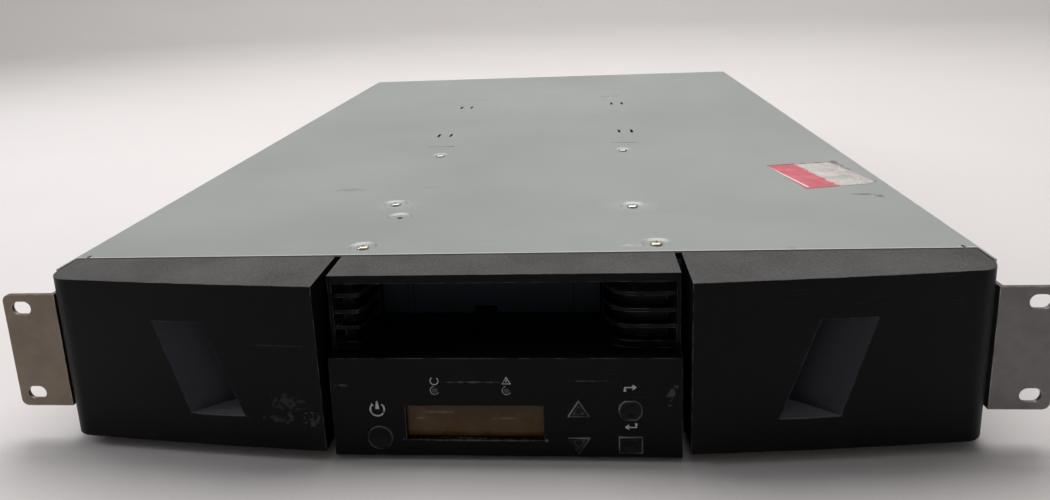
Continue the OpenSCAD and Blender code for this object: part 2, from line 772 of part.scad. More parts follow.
module front_board() {
    color("seagreen") place() {
        translate([-front_board_w / 2, board_y, front_board_z0])
            cube([front_board_w, board_t, front_board_h]);
        // a tact switch behind each button
        for (p = [power_at, up_at, down_at, escape_at, enter_at])
            translate([p[0] - switch_w / 2, board_y - switch_t, p[1] - 2.2])
                cube([switch_w, switch_t, switch_w - 1]);
        // cable header and chips on the back
        translate([0, board_y + board_t, front_board_z0 + header_h]) {
            translate([header_l - 2, 0, 0]) cube([header_l, header_h, header_h]);
            translate([-2 * driver_chip, 0, 4]) cube([driver_chip, 2, driver_chip]);
            translate([-8, 0, 8]) cube([clock_chip, board_t, clock_chip]);
        }
    }
}
module light_pipes() {
    color("lightgreen") place() for (p = led_at)
        rod_y(face_y(p[1]) - 0.2, board_y - face_y(p[1]) + 0.2, p[0], p[1], led_r);
}

// ---- buttons ----
// A key at [x, z]: cap through the face, a rim behind it on two sides and a stem
module key(at, w, h) {
    cap_y = face_y(at[1]) - key_proud;
    rim_y = face_y(at[1]) + face_t + 0.35;
    place() translate([at[0], 0, at[1]]) {
        along_y(cap_y, rim_y + key_rim_t - cap_y) children();
        block([-w / 2 - key_flange, rim_y, -h / 2 + 1], [w / 2 + key_flange, rim_y + key_rim_t, h / 2 - 1]);
        rod_y(rim_y, stem_y - rim_y, 0, 0.3, stem_r);
    }
}
module power_button() { color("#2a2a2c") key(power_at, 2 * power_r, 8) circle(r = power_r); }
module up_button() { color("#2a2a2c") key(up_at, 6, 5) triangle(1, 0); }
module down_button() { color("#2a2a2c") key(down_at, 6, 5) triangle(-1, 0); }
module escape_button() { color("#2a2a2c") key(escape_at, key_w, escape_h) barrel(0); }
module enter_button() {
    color("#2a2a2c") key(enter_at, key_w, enter_h) square([key_w, enter_h], center = true);
}

// ---- magazines ----
module racetrack(r) {
    translate([axle_front, axle_z - r]) square([belt_turn_span, 2 * r]);
    for (y = [axle_front, axle_rear]) translate([y, axle_z]) circle(r = r);
}
module magazine_tray(s) {
    wy = picker_y - s * lane_dx;
    color("#4b4d50") place() side(s) difference() {
        union() {
            difference() {
                block([mag_x0, mag_y0, mag_z0], [mag_x1, mag_y1, mag_top]);
                block([mag_x0 + mag_t, mag_y0 + mag_t, mag_z0 + mag_t],
                      [mag_x1 - mag_t, mag_y1 - mag_t, mag_top + 1]);
            }
            for (x = [mag_x0, mag_x1 - 5])
                block([x, mag_y0, mag_top - 1.5], [x + 5, mag_y1, mag_top]);
            for (y = [axle_front, axle_rear]) {
                rod_x(belt_x - 0.3, mag_x1 - belt_x, y, axle_z, axle_r);
                rod_x(gear_x + gear_t + 0.3, mag_x1 - gear_x - gear_t - 1, y, axle_z, boss_r);
            }
        }
        // window in the inner wall, facing the picker
        block([mag_x0 - 1, wy - window_w / 2, window_z0],
              [mag_x0 + mag_t + 4, wy + window_w / 2, window_z0 + window_h]);
        // guide track for the carrier pins
        along_x(mag_x0 + mag_t - 1, 2) difference() {
            racetrack(belt_r + 1.7);
            racetrack(belt_r - 1.7);
        }
        // the drive motor comes in through the rear wall
        block([gear_x - 1.5, mag_y1 - mag_t - 1, axle_z - motor_r - 1.5],
              [motor_x + motor_t + arm_t + 1.3, mag_y1 + 1, axle_z + motor_r + 1.5]);
        // lightening slots in the floor
        for (y = [60 : 68 : mag_y1 - 40])
            translate([(carrier_x0 + carrier_x1) / 2, y, mag_z0 - 1])
            linear_extrude(mag_t + 2) obround(72, 30);
    }
}
module left_magazine_tray() { magazine_tray(-1); }
module right_magazine_tray() { magazine_tray(1); }

// Each carrier's [y, z of its floor]; the lane offset shifts the loop round its pulleys
function carrier_place(i, s) =
    let (k = i < carrier_n / 2 ? 1 : -1,
         j = i % (carrier_n / 2) - (carrier_n / 2 - 1) / 2)
    [mag_y + j * pitch - k * s * lane_dx, axle_z + k * belt_r + carrier_drop];
module carrier() {
    difference() {
        block([carrier_x0, -carrier_w / 2, 0], [carrier_x1, carrier_w / 2, carrier_wall_h]);
        block([carrier_x0 - 1, -cart_w / 2 - carrier_play, carrier_t],
              [cart_x0 + cart_l, cart_w / 2 + carrier_play, carrier_wall_h + 1]);
        translate([(carrier_x0 + carrier_x1) / 2, 0, -1])
            linear_extrude(carrier_t + 2) obround(76, 52);
        // finger relief in the end wall
        translate([0, 0, carrier_wall_h]) along_x(carrier_x1 - carrier_wall - 1, carrier_wall + 2)
            obround(50, 16);
    }
    // tabs down to the guide track and to the belt
    tab_z = -carrier_drop;
    block([carrier_x0, -tab_w / 2, tab_z - 1.5], [cart_x0, tab_w / 2, 0]);
    rod_x(mag_x0 + mag_t - 0.8, 2, 0, tab_z, 1.4);
    block([carrier_x1 - carrier_wall, -tab_w / 2, tab_z - belt_t / 2], [belt_x, tab_w / 2, 0]);
}
module carriers(s) {
    color("gray") place() side(s) for (i = [0:carrier_n - 1])
        let (p = carrier_place(i, s)) translate([0, p[0], p[1]]) carrier();
}
module left_carriers() { carriers(-1); }
module right_carriers() { carriers(1); }
module cartridge() {
    difference() {
        linear_extrude(cart_h) polygon([
            [cart_x0, -cart_w / 2], [cart_x0 + cart_l - 6, -cart_w / 2],
            [cart_x0 + cart_l, -cart_w / 2 + 3], [cart_x0 + cart_l, cart_w / 2 - 12],
            [cart_x0 + cart_l - 12, cart_w / 2], [cart_x0, cart_w / 2]]);
        // thumb recess and the label panel at the outer end
        translate([cart_x0 + 8, 0, cart_h]) rotate([90, 0, 0])
            translate([0, 0, -30]) cylinder(r = 2.5, h = 60);
        block([cart_x0 + 22, -cart_w / 2 + 14, cart_h - 0.5],
              [cart_x0 + cart_l - 16, cart_w / 2 - 14, cart_h + 1]);
    }
}
module cartridges(s) {
    color("#3a3f4a") place() side(s) for (i = [0:carrier_n - 1])
        let (p = carrier_place(i, s)) translate([0, p[0], p[1] + carrier_t]) cartridge();
}
module left_cartridges() { cartridges(-1); }
module right_cartridges() { cartridges(1); }
module belt(s) {
    color("#151515") place() side(s) along_x(belt_x, belt_w) difference() {
        racetrack(belt_r + belt_t / 2);
        racetrack(belt_r - belt_t / 2);
    }
}
module left_belt() { belt(-1); }
module right_belt() { belt(1); }
module pulley(y, hub_l, toothed) {
    difference() {
        union() {
            translate([0, y, axle_z]) along_x(belt_x + 0.2, belt_w - 0.4) difference() {
                circle(r = pulley_r);
                for (i = [0:23]) rotate(i * 15) translate([pulley_r, 0]) circle(r = 1.1);
                for (i = [0:5]) rotate(i * 60 + 7.5) translate([13, 0]) circle(r = 4);
            }
            rod_x(belt_x + 0.2, hub_l - 0.2, y, axle_z, 7);
            if (toothed) translate([0, y, axle_z]) along_x(gear_x, gear_t)
                gear(mag_teeth, gear_m);
        }
        rod_x(belt_x - 1, hub_l + 2, y, axle_z, axle_r + fit);
    }
}
module front_pulley(s) {
    color("whitesmoke") place() side(s) pulley(axle_front, gear_x + gear_t - belt_x, false);
}
module rear_pulley(s) {
    color("whitesmoke") place() side(s) pulley(axle_rear, gear_x + gear_t - belt_x, true);
}
module left_front_pulley() { front_pulley(-1); }
module right_front_pulley() { front_pulley(1); }
module left_rear_pulley() { rear_pulley(-1); }
module right_rear_pulley() { rear_pulley(1); }
module magazine_motor(s) {
    color("dimgray") place() side(s) {
        rod_x(motor_x, motor_t, pinion_y, axle_z, motor_r);
        rod_x(gear_x - 0.3, motor_x - gear_x + 1, pinion_y, axle_z, 1.5);
        block([motor_x + motor_t, pinion_y - arm_h / 2, axle_z - arm_h / 2],
              [motor_x + motor_t + arm_t, foot_y + 3, axle_z + arm_h / 2]);
        block([motor_x + motor_t, foot_y, axle_z - arm_h / 2], [in_w, foot_y + 3, axle_z + arm_h / 2]);
    }
}
module left_magazine_motor() { magazine_motor(-1); }
module right_magazine_motor() { magazine_motor(1); }
module drive_pinion(s) {
    color("goldenrod") place() side(s) translate([0, pinion_y, axle_z]) along_x(gear_x, gear_t)
        difference() {
            rotate(180 / drive_teeth) gear(drive_teeth, gear_m);
            circle(r = 1.5 + fit);
        }
}
module left_drive_pinion() { drive_pinion(-1); }
module right_drive_pinion() { drive_pinion(1); }

// ---- picker ----
module picker_base() {
    color("silver") place() {
        difference() {
            block([-base_half, picker_y - base_half, sheet_t], [base_half, picker_y + base_half, base_top]);
            for (x = [-1, 1], y = [-1, 1])
                rod_z(sheet_t - 1, base_t + 2, x * (base_half - 8), picker_y + y * (base_half - 8), 2.2);
        }
        rod_z(base_top, 5, 0, picker_y, post_r + 4);
        rod_z(base_top, frame_z - 2.3 - base_top, 0, picker_y, post_r);
    }
}
module picker_motor() {
    color("dimgray") place() {
        rod_z(base_top, 8, pinion_at[0], pinion_at[1], picker_motor_r);
        rod_z(base_top + 8, 7.5, pinion_at[0], pinion_at[1], 2.5);
    }
}
module picker_pinion() {
    color("goldenrod") place() translate([pinion_at[0], pinion_at[1], pinion_z])
        linear_extrude(table_gear_t) difference() {
            // turned so that a gap faces the tooth of the gear on the line of centres
            rotate(45 + 180 / pinion_teeth + 360 / pinion_teeth * mesh_shift)
                gear(pinion_teeth, table_m);
            circle(r = 2.5 + fit);
        }
}
// Part of a tooth by which the gear's nearest tooth misses the line of centres
mesh_shift = -(table_teeth * 225 / 360 - floor(table_teeth * 225 / 360));
module turntable() {
    color("lightsteelblue") place() translate([0, picker_y, 0]) {
        difference() {
            union() {
                rod_z(base_top + 5.3, frame_z + 1 - base_top - 5.3, 0, 0, hub_r);
                translate([0, 0, pinion_z]) linear_extrude(table_gear_t)
                    gear(table_teeth, table_m);
                block([lane_dx - frame_half, -lug_y - lug_t, frame_z],
                      [lane_dx + frame_half, lug_y + lug_t, frame_z + frame_t]);
                for (y = [-lug_y - lug_t, lug_y])
                    block([lane_dx - frame_half, y, frame_z],
                          [lane_dx + frame_half, y + lug_t, deck_z - deck_t]);
            }
            rod_z(base_top, frame_z - 2 - base_top, 0, 0, post_r + fit);
            // five-armed web of the gear
            for (i = [0:4]) rotate(i * 72 + 18) translate([hub_r + 10.5, 0, pinion_z - 1])
                cylinder(r = 7, h = table_gear_t + 2);
            rod_y(-lug_y - lug_t - 1, 2 * (lug_y + lug_t + 1), lane_dx, rod_z, screw_rod_r + fit);
        }
        for (s = [-1, 1])
            rod_y(-lug_y - 1, 2 * lug_y + 2, lane_dx + s * rod_dx, rod_z, guide_r);
    }
}
// Round deck that rests on the lugs, with a guide along each side of the cartridge
module picker_deck() {
    color("lightsteelblue") place() translate([0, picker_y, 0]) {
        difference() {
            rod_z(deck_z - deck_t, deck_t, 0, 0, deck_r);
            block([lane_dx - neck_w / 2 - 1, -lug_y - 0.5, deck_z - deck_t - 1],
                  [lane_dx + neck_w / 2 + 1, lug_y + 0.5, deck_z + 1]);
            for (x = [-30, 46]) translate([x, 0, deck_z - deck_t - 1])
                linear_extrude(deck_t + 2) rotate(90) obround(56, 18);
        }
        for (x = [lane_dx - cart_w / 2 - 0.8 - guide_t, lane_dx + cart_w / 2 + 0.8])
            let (e = max(abs(x), abs(x + guide_t)), h = sqrt(deck_r * deck_r - e * e) - 1)
            block([x, -h, deck_z - 1], [x + guide_t, h, deck_z + 12]);
    }
}
module gripper_carriage() {
    shoe_z = rod_z - shoe_h / 2;
    color("steelblue") place() translate([lane_dx, picker_y, 0]) difference() {
        union() {
            block([-frame_half + 1, shoe_y, shoe_z], [frame_half - 1, shoe_y + shoe_l, rod_z + shoe_h / 2]);
            block([-neck_w / 2, shoe_y, shoe_z], [neck_w / 2, shoe_y + neck_l, deck_z + 1]);
            block([-25, shoe_y, deck_z + 0.4], [25, shoe_y + neck_l - 3.5, deck_z + jaw_h]);
            // hooked fingers that catch the notches of a cartridge
            for (s = [-1, 1]) {
                block([s * 23 - 2, shoe_y, deck_z + 4], [s * 23 + 2, shoe_y + neck_l, deck_z + 10]);
                block([s * 21 - 2, shoe_y + neck_l - 1.5, deck_z + 4],
                      [s * 21 + 2, shoe_y + neck_l, deck_z + 10]);
            }
        }
        rod_y(shoe_y - 1, shoe_l + 2, 0, rod_z, screw_rod_r + fit);
        for (s = [-1, 1]) rod_y(shoe_y - 1, shoe_l + 2, s * rod_dx, rod_z, guide_r + fit);
    }
}
module gripper_screw() {
    color("gainsboro") place() translate([lane_dx, picker_y, 0])
        rod_y(-lug_y - lug_t, 2 * (lug_y + lug_t), 0, rod_z, screw_rod_r);
}
module gripper_motor() {
    color("dimgray") place() translate([lane_dx, picker_y, 0])
        rod_y(-lug_y - lug_t - 8, 8, 0, rod_z, deck_z - deck_t - rod_z - 0.4);
}

// ---- tape drive and sled ----
module finger_guard(r) {
    difference() {
        circle(r = r);
        for (k = [0.34, 0.58, 0.82]) difference() {
            circle(r = r * k + 0.7);
            circle(r = r * k - 0.7);
        }
        circle(r = r * 0.16);
        for (i = [0:3]) rotate(i * 45) square([2 * r + 2, 1.6], center = true);
    }
}
module drive_sled() {
    plate_y = body_l;
    color("lightgray") place() {
        difference() {
            union() {
                block([-sled_w, sled_y0, sheet_t], [sled_w, plate_y, 2 * sheet_t]);
                for (s = [-1, 1]) side(s)
                    block([sled_w - sheet_t, sled_y0, sheet_t], [sled_w, plate_y, sled_wall_h]);
                block([-sled_plate, plate_y, 1.5], [sled_plate, plate_y + sheet_t, bay_top - 1]);
            }
            translate([sled_fan_x, 0, sled_fan_z]) along_y(plate_y - 1, sheet_t + 2)
                finger_guard(fan_w / 2 - 3);
            for (i = [0:5], k = [0:1]) translate([-62 + i * 9, 0, 22 + k * 16])
                along_y(plate_y - 1, sheet_t + 2) rotate(90) obround(12, 4);
            sled_connector(0.4);
            for (y = [drive_y0 + drive_l + 30 : 40 : body_l - fan_l - 20])
                translate([0, y, sheet_t - 1]) linear_extrude(sheet_t + 2) obround(90, 18);
        }
        // pull lip, turned down at its end
        block([-62, plate_y + 0.5, 73], [-18, plate_y + handle_l, 74.5]);
        block([-62, plate_y + handle_l - 1.5, 67], [-18, plate_y + handle_l, 74.5]);
    }
}
module sled_thumbscrews() {
    color("gainsboro") place() for (s = [-1, 1], z = thumb_z) {
        rod_y(body_l + sheet_t, thumb_l, s * (bay_x + 5), z, thumb_r);
        rod_y(body_l + sheet_t + thumb_l, thumb_cap, s * (bay_x + 5), z, 0.8 * thumb_r);
    }
}
module tape_drive() {
    mouth_x = lane_dx - drive_mouth[0] / 2;
    color("#3c3c3e") place() difference() {
        union() {
            // folded case, open towards the sled
            difference() {
                block([-drive_w / 2, drive_y0, drive_z0],
                      [drive_w / 2, drive_y0 + drive_l, drive_z0 + drive_h]);
                block([-drive_w / 2 + drive_wall, drive_y0 + drive_wall, drive_z0 - 1],
                      [drive_w / 2 - drive_wall, drive_y0 + drive_l - drive_wall,
                       drive_z0 + drive_h - drive_wall]);
            }
            // cartridge bay with a raised frame round its mouth
            block([mouth_x - drive_wall, drive_y0, deck_z - 0.6 - drive_wall],
                  [mouth_x + drive_mouth[0] + drive_wall, drive_y0 + drive_mouth[2] + drive_wall,
                   drive_z0 + drive_h]);
            block([mouth_x - 4, drive_y0 - 2, deck_z - 5],
                  [mouth_x + drive_mouth[0] + 4, drive_y0 + 1, deck_z + drive_mouth[1] + 3]);
            // casting with the motors and the head behind the bay
            block([-drive_w / 2 + 1, drive_y0 + drive_mouth[2] - 10, drive_z0],
                  [drive_w / 2 - 1, drive_y0 + drive_l - 14, 44]);
            block([-66, drive_y0, 21], [-48, drive_y0 + 9, 35]);
        }
        block([mouth_x, drive_y0 - 3, deck_z - 0.6],
              [mouth_x + drive_mouth[0], drive_y0 + drive_mouth[2], deck_z + drive_mouth[1]]);
        // pocket behind the eject button
        block([-62.3, drive_y0 - 1, 24.7], [-51.7, drive_y0 + 6, 31.3]);
    }
}
module drive_eject_button() {
    color("slategray") place() {
        block([-62, drive_y0 - 1, 25], [-52, drive_y0 + 4, 31]);
    }
}
module sled_fan_frame() {
    y0 = body_l - fan_l;
    color("#202020") place() difference() {
        translate([sled_fan_x, 0, sled_fan_z]) along_y(y0, fan_l)
            square(fan_w, center = true);
        translate([sled_fan_x, 0, sled_fan_z]) {
            rod_y(y0 - 1, fan_l - 2, 0, 0, fan_w / 2 - 2.5);
            along_y(y0, fan_l + 1) difference() {
                circle(r = fan_w / 2 - 2.5);
                circle(r = 11);
                for (i = [0:2]) rotate(i * 120 + 30) translate([0, -1.5]) square([fan_w / 2, 3]);
            }
            for (x = [-1, 1], z = [-1, 1])
                rod_y(y0 - 1, fan_l + 2, x * (fan_w / 2 - 5), z * (fan_w / 2 - 5), 2.2);
        }
        // pin that the rotor turns on stays in the middle
    }
    color("#202020") place()
        rod_y(y0 + 4, fan_l - 6, sled_fan_x, sled_fan_z, 2);
}
module sled_fan_rotor() {
    color("#303030") place() translate([sled_fan_x, body_l - fan_l + 2, sled_fan_z])
        difference() {
            fan_blades(fan_w / 2 - 4, 10, fan_l - 6, 7);
            rod_y(1.5, fan_l, 0, 0, 2 + fit);
        }
}

// ---- power supply ----
module power_supply() {
    y1 = body_l - sheet_t;
    wall = 1.2;
    color("lightgray") place() {
        difference() {
            union() {
                difference() {
                    block([-(psu_x + psu_w), psu_y0, sheet_t], [-psu_x, y1, psu_h]);
                    block([-(psu_x + psu_w) + wall, psu_y0 + wall, sheet_t + wall],
                          [-psu_x - wall, y1 - wall, psu_h - wall]);
                }
                // transformer and heat sink on the floor
                block([-(psu_x + 62), psu_y0 + 12, sheet_t], [-(psu_x + 16), psu_y0 + 50, 44]);
                for (i = [0:3]) block([-(psu_x + 76 + i * 9), psu_y0 + 12, sheet_t],
                                      [-(psu_x + 73 + i * 9), psu_y0 + 52, 50]);
                // housing of the inlet and the switch, and the fan's ring
                block([inlet_x - 18, y1 - 24, 12], [inlet_x + 18, y1 - 0.5, 68]);
                translate([psu_fan_x, 0, psu_fan_z]) along_y(y1 - 26, 25.5)
                    circle(r = psu_fan_r + 1.5);
            }
            rod_y(y1 - 27, 26, psu_fan_x, psu_fan_z, psu_fan_r);
            translate([psu_fan_x, 0, psu_fan_z]) along_y(y1 - 2, 4) finger_guard(psu_fan_r);
            // inlet and switch cut-outs
            block([inlet_x - inlet_w / 2, y1 - 22, inlet_z - inlet_h / 2],
                  [inlet_x + inlet_w / 2, y1 + 1, inlet_z + inlet_h / 2]);
            block([inlet_x - rocker_w / 2, y1 - 18, rocker_z - rocker_h / 2],
                  [inlet_x + rocker_w / 2, y1 + 1, rocker_z + rocker_h / 2]);
            // air slots in the front wall
            for (i = [0:9]) translate([-(psu_x + 14) - i * 10, 0, 42])
                along_y(psu_y0 - 1, wall + 2) rotate(90) obround(44, 4);
        }
        rod_y(y1 - 18, 17.2, psu_fan_x, psu_fan_z, 2);
        // hinge pins of the rocker
        for (s = [-1, 1]) rod_x(inlet_x + s * (rocker_w / 2 - 0.4) - 0.7, 1.4, y1 - 3, rocker_z, 1);
    }
}
module psu_fan_rotor() {
    color("#303030") place() translate([psu_fan_x, body_l - sheet_t - 22, psu_fan_z])
        difference() {
            fan_blades(psu_fan_r - 1.5, 9, 18, 7);
            rod_y(3.5, 16, 0, 0, 2 + fit);
        }
}
module power_inlet() {
    y1 = body_l - sheet_t;
    color("#18181a") place() translate([inlet_x, 0, inlet_z]) {
        difference() {
            union() {
                along_y(y1 - 20, 20) square([inlet_w - 0.4, inlet_h - 0.4], center = true);
                along_y(y1, 2) square([inlet_w + 4, inlet_h + 3], center = true);
            }
            // socket with two cropped corners
            along_y(y1 - 15, 20) polygon([[-12, -7.5], [12, -7.5], [12, 3.5], [8, 7.5],
                                          [-8, 7.5], [-12, 3.5]]);
        }
        for (p = [[-7, -1.5], [0, 2.5], [7, -1.5]]) translate([p[0], 0, p[1]])
            block([-1, y1 - 16, -2], [1, y1 - 3, 2]);
    }
}
module power_switch() {
    y1 = body_l - sheet_t;
    color("#18181a") place() translate([inlet_x, y1 - 3, rocker_z]) difference() {
        // rocker with two faces that meet over the pivot
        along_x(-rocker_w / 2 + 1.1, rocker_w - 2.2)
            polygon([[-5, -3], [-1, -6.1], [3, -6.25], [2.5, -0.4], [4.6, 5.2], [0, 6.1], [-5, 3]]);
        for (s = [-1, 1])
            rod_x(s * (rocker_w / 2 - 0.4) - 1.2, 2.4, 0, 0, 1 + fit);
    }
}

// ---- controller ----
module controller_board() {
    color("seagreen") place() {
        block([board_x0, psu_y0 + 6, board_z], [board_x1, body_l - 4, board_z + board_t]);
        for (x = [board_x0 + 6, board_x1 - 6], y = [psu_y0 + 12, body_l - 10])
            rod_z(sheet_t, board_z - sheet_t, x, y, board_pillar_r);
        // processor under a finned heat sink
        translate([board_x0 + 20, psu_y0 + 18, board_z]) {
            cube([sink_w, sink_w, sink_fin_h - 4]);
            for (i = [0:sink_fin_n - 1])
                translate([i * (sink_w - sink_fin_t) / (sink_fin_n - 1), 0, 0])
                    cube([sink_fin_t, sink_w, sink_fin_h + 6]);
        }
        for (i = [0:2]) translate([board_x0 + 62, psu_y0 + 14 + 1.4 * i * memory_chip[1], board_z])
            cube([memory_chip[0], memory_chip[1], board_t + 2]);
    }
}
// Ports in the rear panel: [x, width, height], standing on the board
ports = [[board_x0 + 20, serial_port[0], serial_port[1]],
         [board_x0 + 56, network_port[0], network_port[1]],
         [board_x0 + 82, service_port[0], service_port[1]]];
module connector_places(gap) {
    for (p = ports)
        block([p[0] - p[1] / 2 - gap, body_l - sheet_t - 1, board_z + board_t - gap],
              [p[0] + p[1] / 2 + gap, body_l + 1, board_z + board_t + p[2] + gap]);
}
module sled_connector(gap) {
    translate([-40, 0, 60]) along_y(body_l - 14, 14 + sheet_t + 0.6 + gap * 2)
        square([44 + 2 * gap, 9 + 2 * gap], center = true);
}
module rear_connectors() {
    color("silver") place() {
        for (p = ports) difference() {
            block([p[0] - p[1] / 2, body_l - sheet_t - port_l, board_z + board_t],
                  [p[0] + p[1] / 2, body_l + 0.8, board_z + board_t + p[2]]);
            block([p[0] - p[1] / 2 + port_wall, body_l - 12, board_z + board_t + port_wall],
                  [p[0] + p[1] / 2 - port_wall, body_l + 2, board_z + board_t + p[2] - port_wall]);
        }
        difference() {
            sled_connector(0);
            translate([-40, 0, 60]) along_y(body_l - 6, 10)
                polygon([[-20, 3], [20, 3], [18.5, -3], [-18.5, -3]]);
        }
    }
}

chassis_tray();
rear_panel();
top_cover();
case_screws();
left_rack_ear();
right_rack_ear();
left_bay_wall();
right_bay_wall();
magazine_rails();
centre_bezel();
mail_slot_chute();
mail_slot_door();
door_pin();
display_window();
display_module();
front_board();
light_pipes();
power_button();
up_button();
down_button();
escape_button();
enter_button();
left_magazine_bezel();
left_magazine_tray();
left_carriers();
left_cartridges();
left_belt();
left_front_pulley();
left_rear_pulley();
left_magazine_motor();
left_drive_pinion();
right_magazine_bezel();
right_magazine_tray();
right_carriers();
right_cartridges();
right_belt();
right_front_pulley();
right_rear_pulley();
right_magazine_motor();
right_drive_pinion();
picker_base();
picker_motor();
picker_pinion();
turntable();
picker_deck();
gripper_carriage();
gripper_screw();
gripper_motor();
drive_sled();
tape_drive();
drive_eject_button();
sled_fan_frame();
sled_fan_rotor();
sled_thumbscrews();
power_supply();
psu_fan_rotor();
power_inlet();
power_switch();
controller_board();
rear_connectors();
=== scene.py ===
import json
import math
import random

import bmesh
import bpy
from mathutils import Matrix, Vector

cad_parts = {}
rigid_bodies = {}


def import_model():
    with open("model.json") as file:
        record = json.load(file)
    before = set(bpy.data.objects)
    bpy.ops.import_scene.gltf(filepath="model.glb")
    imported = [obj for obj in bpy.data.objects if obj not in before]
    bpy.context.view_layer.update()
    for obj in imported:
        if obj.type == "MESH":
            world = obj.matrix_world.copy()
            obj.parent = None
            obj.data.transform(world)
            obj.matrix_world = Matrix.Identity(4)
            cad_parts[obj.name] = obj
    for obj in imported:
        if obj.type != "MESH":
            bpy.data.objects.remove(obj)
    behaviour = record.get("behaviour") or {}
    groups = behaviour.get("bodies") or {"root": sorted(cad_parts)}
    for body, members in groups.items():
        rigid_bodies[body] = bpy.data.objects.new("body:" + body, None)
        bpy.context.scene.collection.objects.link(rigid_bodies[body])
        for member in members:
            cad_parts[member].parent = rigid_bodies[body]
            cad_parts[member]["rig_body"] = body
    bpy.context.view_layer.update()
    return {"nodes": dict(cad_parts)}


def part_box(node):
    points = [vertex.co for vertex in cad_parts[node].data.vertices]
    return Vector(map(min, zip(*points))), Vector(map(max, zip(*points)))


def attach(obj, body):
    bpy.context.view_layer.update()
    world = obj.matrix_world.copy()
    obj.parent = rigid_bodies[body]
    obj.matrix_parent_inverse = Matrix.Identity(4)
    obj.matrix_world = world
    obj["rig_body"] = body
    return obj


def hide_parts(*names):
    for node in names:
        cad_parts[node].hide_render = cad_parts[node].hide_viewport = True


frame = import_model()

nodes = frame["nodes"]

# ------------------------------------------------------------
# Top cover: one sheet of 1 mm zinc-coated steel with a grey-green chromate film, folded down
# 12 mm at the sides. Dimples seat it on the bay walls, where short screws hold it.
# ------------------------------------------------------------


def linear(r, g, b):
    """A colour given as 0 to 255 screen values, as the shader needs it."""
    return tuple((c / 255 / 12.92) if c / 255 <= 0.04045 else ((c / 255 + 0.055) / 1.055) ** 2.4
                 for c in (r, g, b)) + (1.0,)


def applied(piece):
    """Replaces a piece's mesh by what its modifiers make of it, and removes them."""
    depsgraph = bpy.context.evaluated_depsgraph_get()
    done = bpy.data.meshes.new_from_object(piece.evaluated_get(depsgraph))
    piece.modifiers.clear()
    piece.data = done
    done.name = piece.name
    return piece


def smoothed(piece):
    """Shades a piece smooth between its sharp edges, with its flat faces kept flat."""
    for polygon in piece.data.polygons:
        polygon.use_smooth = True
    piece.data.set_sharp_from_angle(angle=math.radians(40))
    flat = piece.modifiers.new("flat_faces", "WEIGHTED_NORMAL")
    flat.weight = 100
    flat.keep_sharp = True
    return applied(piece)


def linked(name, data):
    """An object for a mesh, a lamp or a camera, linked to the scene."""
    made = bpy.data.objects.new(name, data)
    bpy.context.scene.collection.objects.link(made)
    return made


def new_piece(name, mesh):
    """A smoothly shaded piece for a mesh."""
    return smoothed(linked(name, mesh))


def welded(bm):
    """Joins the loose triangles of a CAD node at the corners that they share."""
    bmesh.ops.remove_doubles(bm, verts=bm.verts, dist=2e-6)


def opened(node, ending):
    """A copy of a CAD node and its open bmesh, welded, with its flat faces whole."""
    piece = new_piece(node + ending, nodes[node].data.copy())
    bm = bmesh.new()
    bm.from_mesh(piece.data)
    welded(bm)
    bmesh.ops.dissolve_limit(bm, angle_limit=math.radians(0.6), verts=bm.verts, edges=bm.edges)
    return piece, bm


def rounded(piece, bm, node, width, angle=32.0, corners="MITER_ARC"):
    """Closes a piece's bmesh, rounds its edges to a width in mm and has it stand for its node."""
    bm.to_mesh(piece.data)
    bm.free()
    bevel = piece.modifiers.new("rounded", "BEVEL")
    bevel.width = width / 1000
    bevel.segments = 2
    bevel.limit_method = "ANGLE"
    bevel.angle_limit = math.radians(angle)
    bevel.use_clamp_overlap = True
    bevel.miter_outer = corners
    smoothed(applied(piece))
    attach(piece, nodes[node]["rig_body"])
    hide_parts(node)
    return piece


def softened(node, width, angle=32.0, grilled=False):
    """A copy of a CAD node, standing for it, with its sharp edges rounded to a width in mm.

    The faces of a grilled one are cut into triangles first, so that they don't fold over its holes.
    """
    piece, bm = opened(node, "_skin")
    if grilled:
        bmesh.ops.triangulate(bm, faces=[f for f in bm.faces if len(f.verts) > 4])
    return rounded(piece, bm, node, width, angle)


def finish(piece, finish_material):
    """Gives a piece one material."""
    piece.data.materials.clear()
    piece.data.materials.append(finish_material)
    for polygon in piece.data.polygons:
        polygon.material_index = 0
    return piece


def add(tree, kind, values=None, links=None, **settings):
    """A node in a tree, with its settings, and plain values and links by socket name or number."""
    node = tree.nodes.new(kind)
    for key, value in settings.items():
        setattr(node, key, value)
    for key, value in (values or {}).items():
        node.inputs[key].default_value = value
    for key, source in (links or {}).items():
        tree.links.new(source, node.inputs[key])
    return node


def fed(tree, node, parts):
    """Links a node's inputs to outputs, or sets them to plain values, in their order."""
    for slot, value in enumerate(parts):
        if isinstance(value, bpy.types.NodeSocket):
            tree.links.new(value, node.inputs[slot])
        else:
            node.inputs[slot].default_value = value
    return node.outputs


def calc(tree, operation, a, b=0.0):
    """A Math node on outputs or numbers."""
    return fed(tree, add(tree, "ShaderNodeMath", operation=operation), (a, b))[0]


def product(tree, first, *others):
    """Outputs or numbers multiplied one after another."""
    for other in others:
        first = calc(tree, "MULTIPLY", first, other)
    return first


def vector_calc(tree, operation, *parts):
    """A Vector Math node on outputs or vectors; returns its Vector and Value outputs."""
    return fed(tree, add(tree, "ShaderNodeVectorMath", operation=operation), parts)


def noise(tree, place, detail, scale):
    """The height of a noise at a place, at a scale that is a number."""
    return add(tree, "ShaderNodeTexNoise", {"Detail": detail, "Scale": scale},
               {"Vector": place}).outputs["Fac"]


def ramp(tree, source, low, high):
    """Maps a value from low..high to 0..1."""
    return add(tree, "ShaderNodeMapRange", {"From Min": low, "From Max": high},
               {"Value": source}).outputs["Result"]


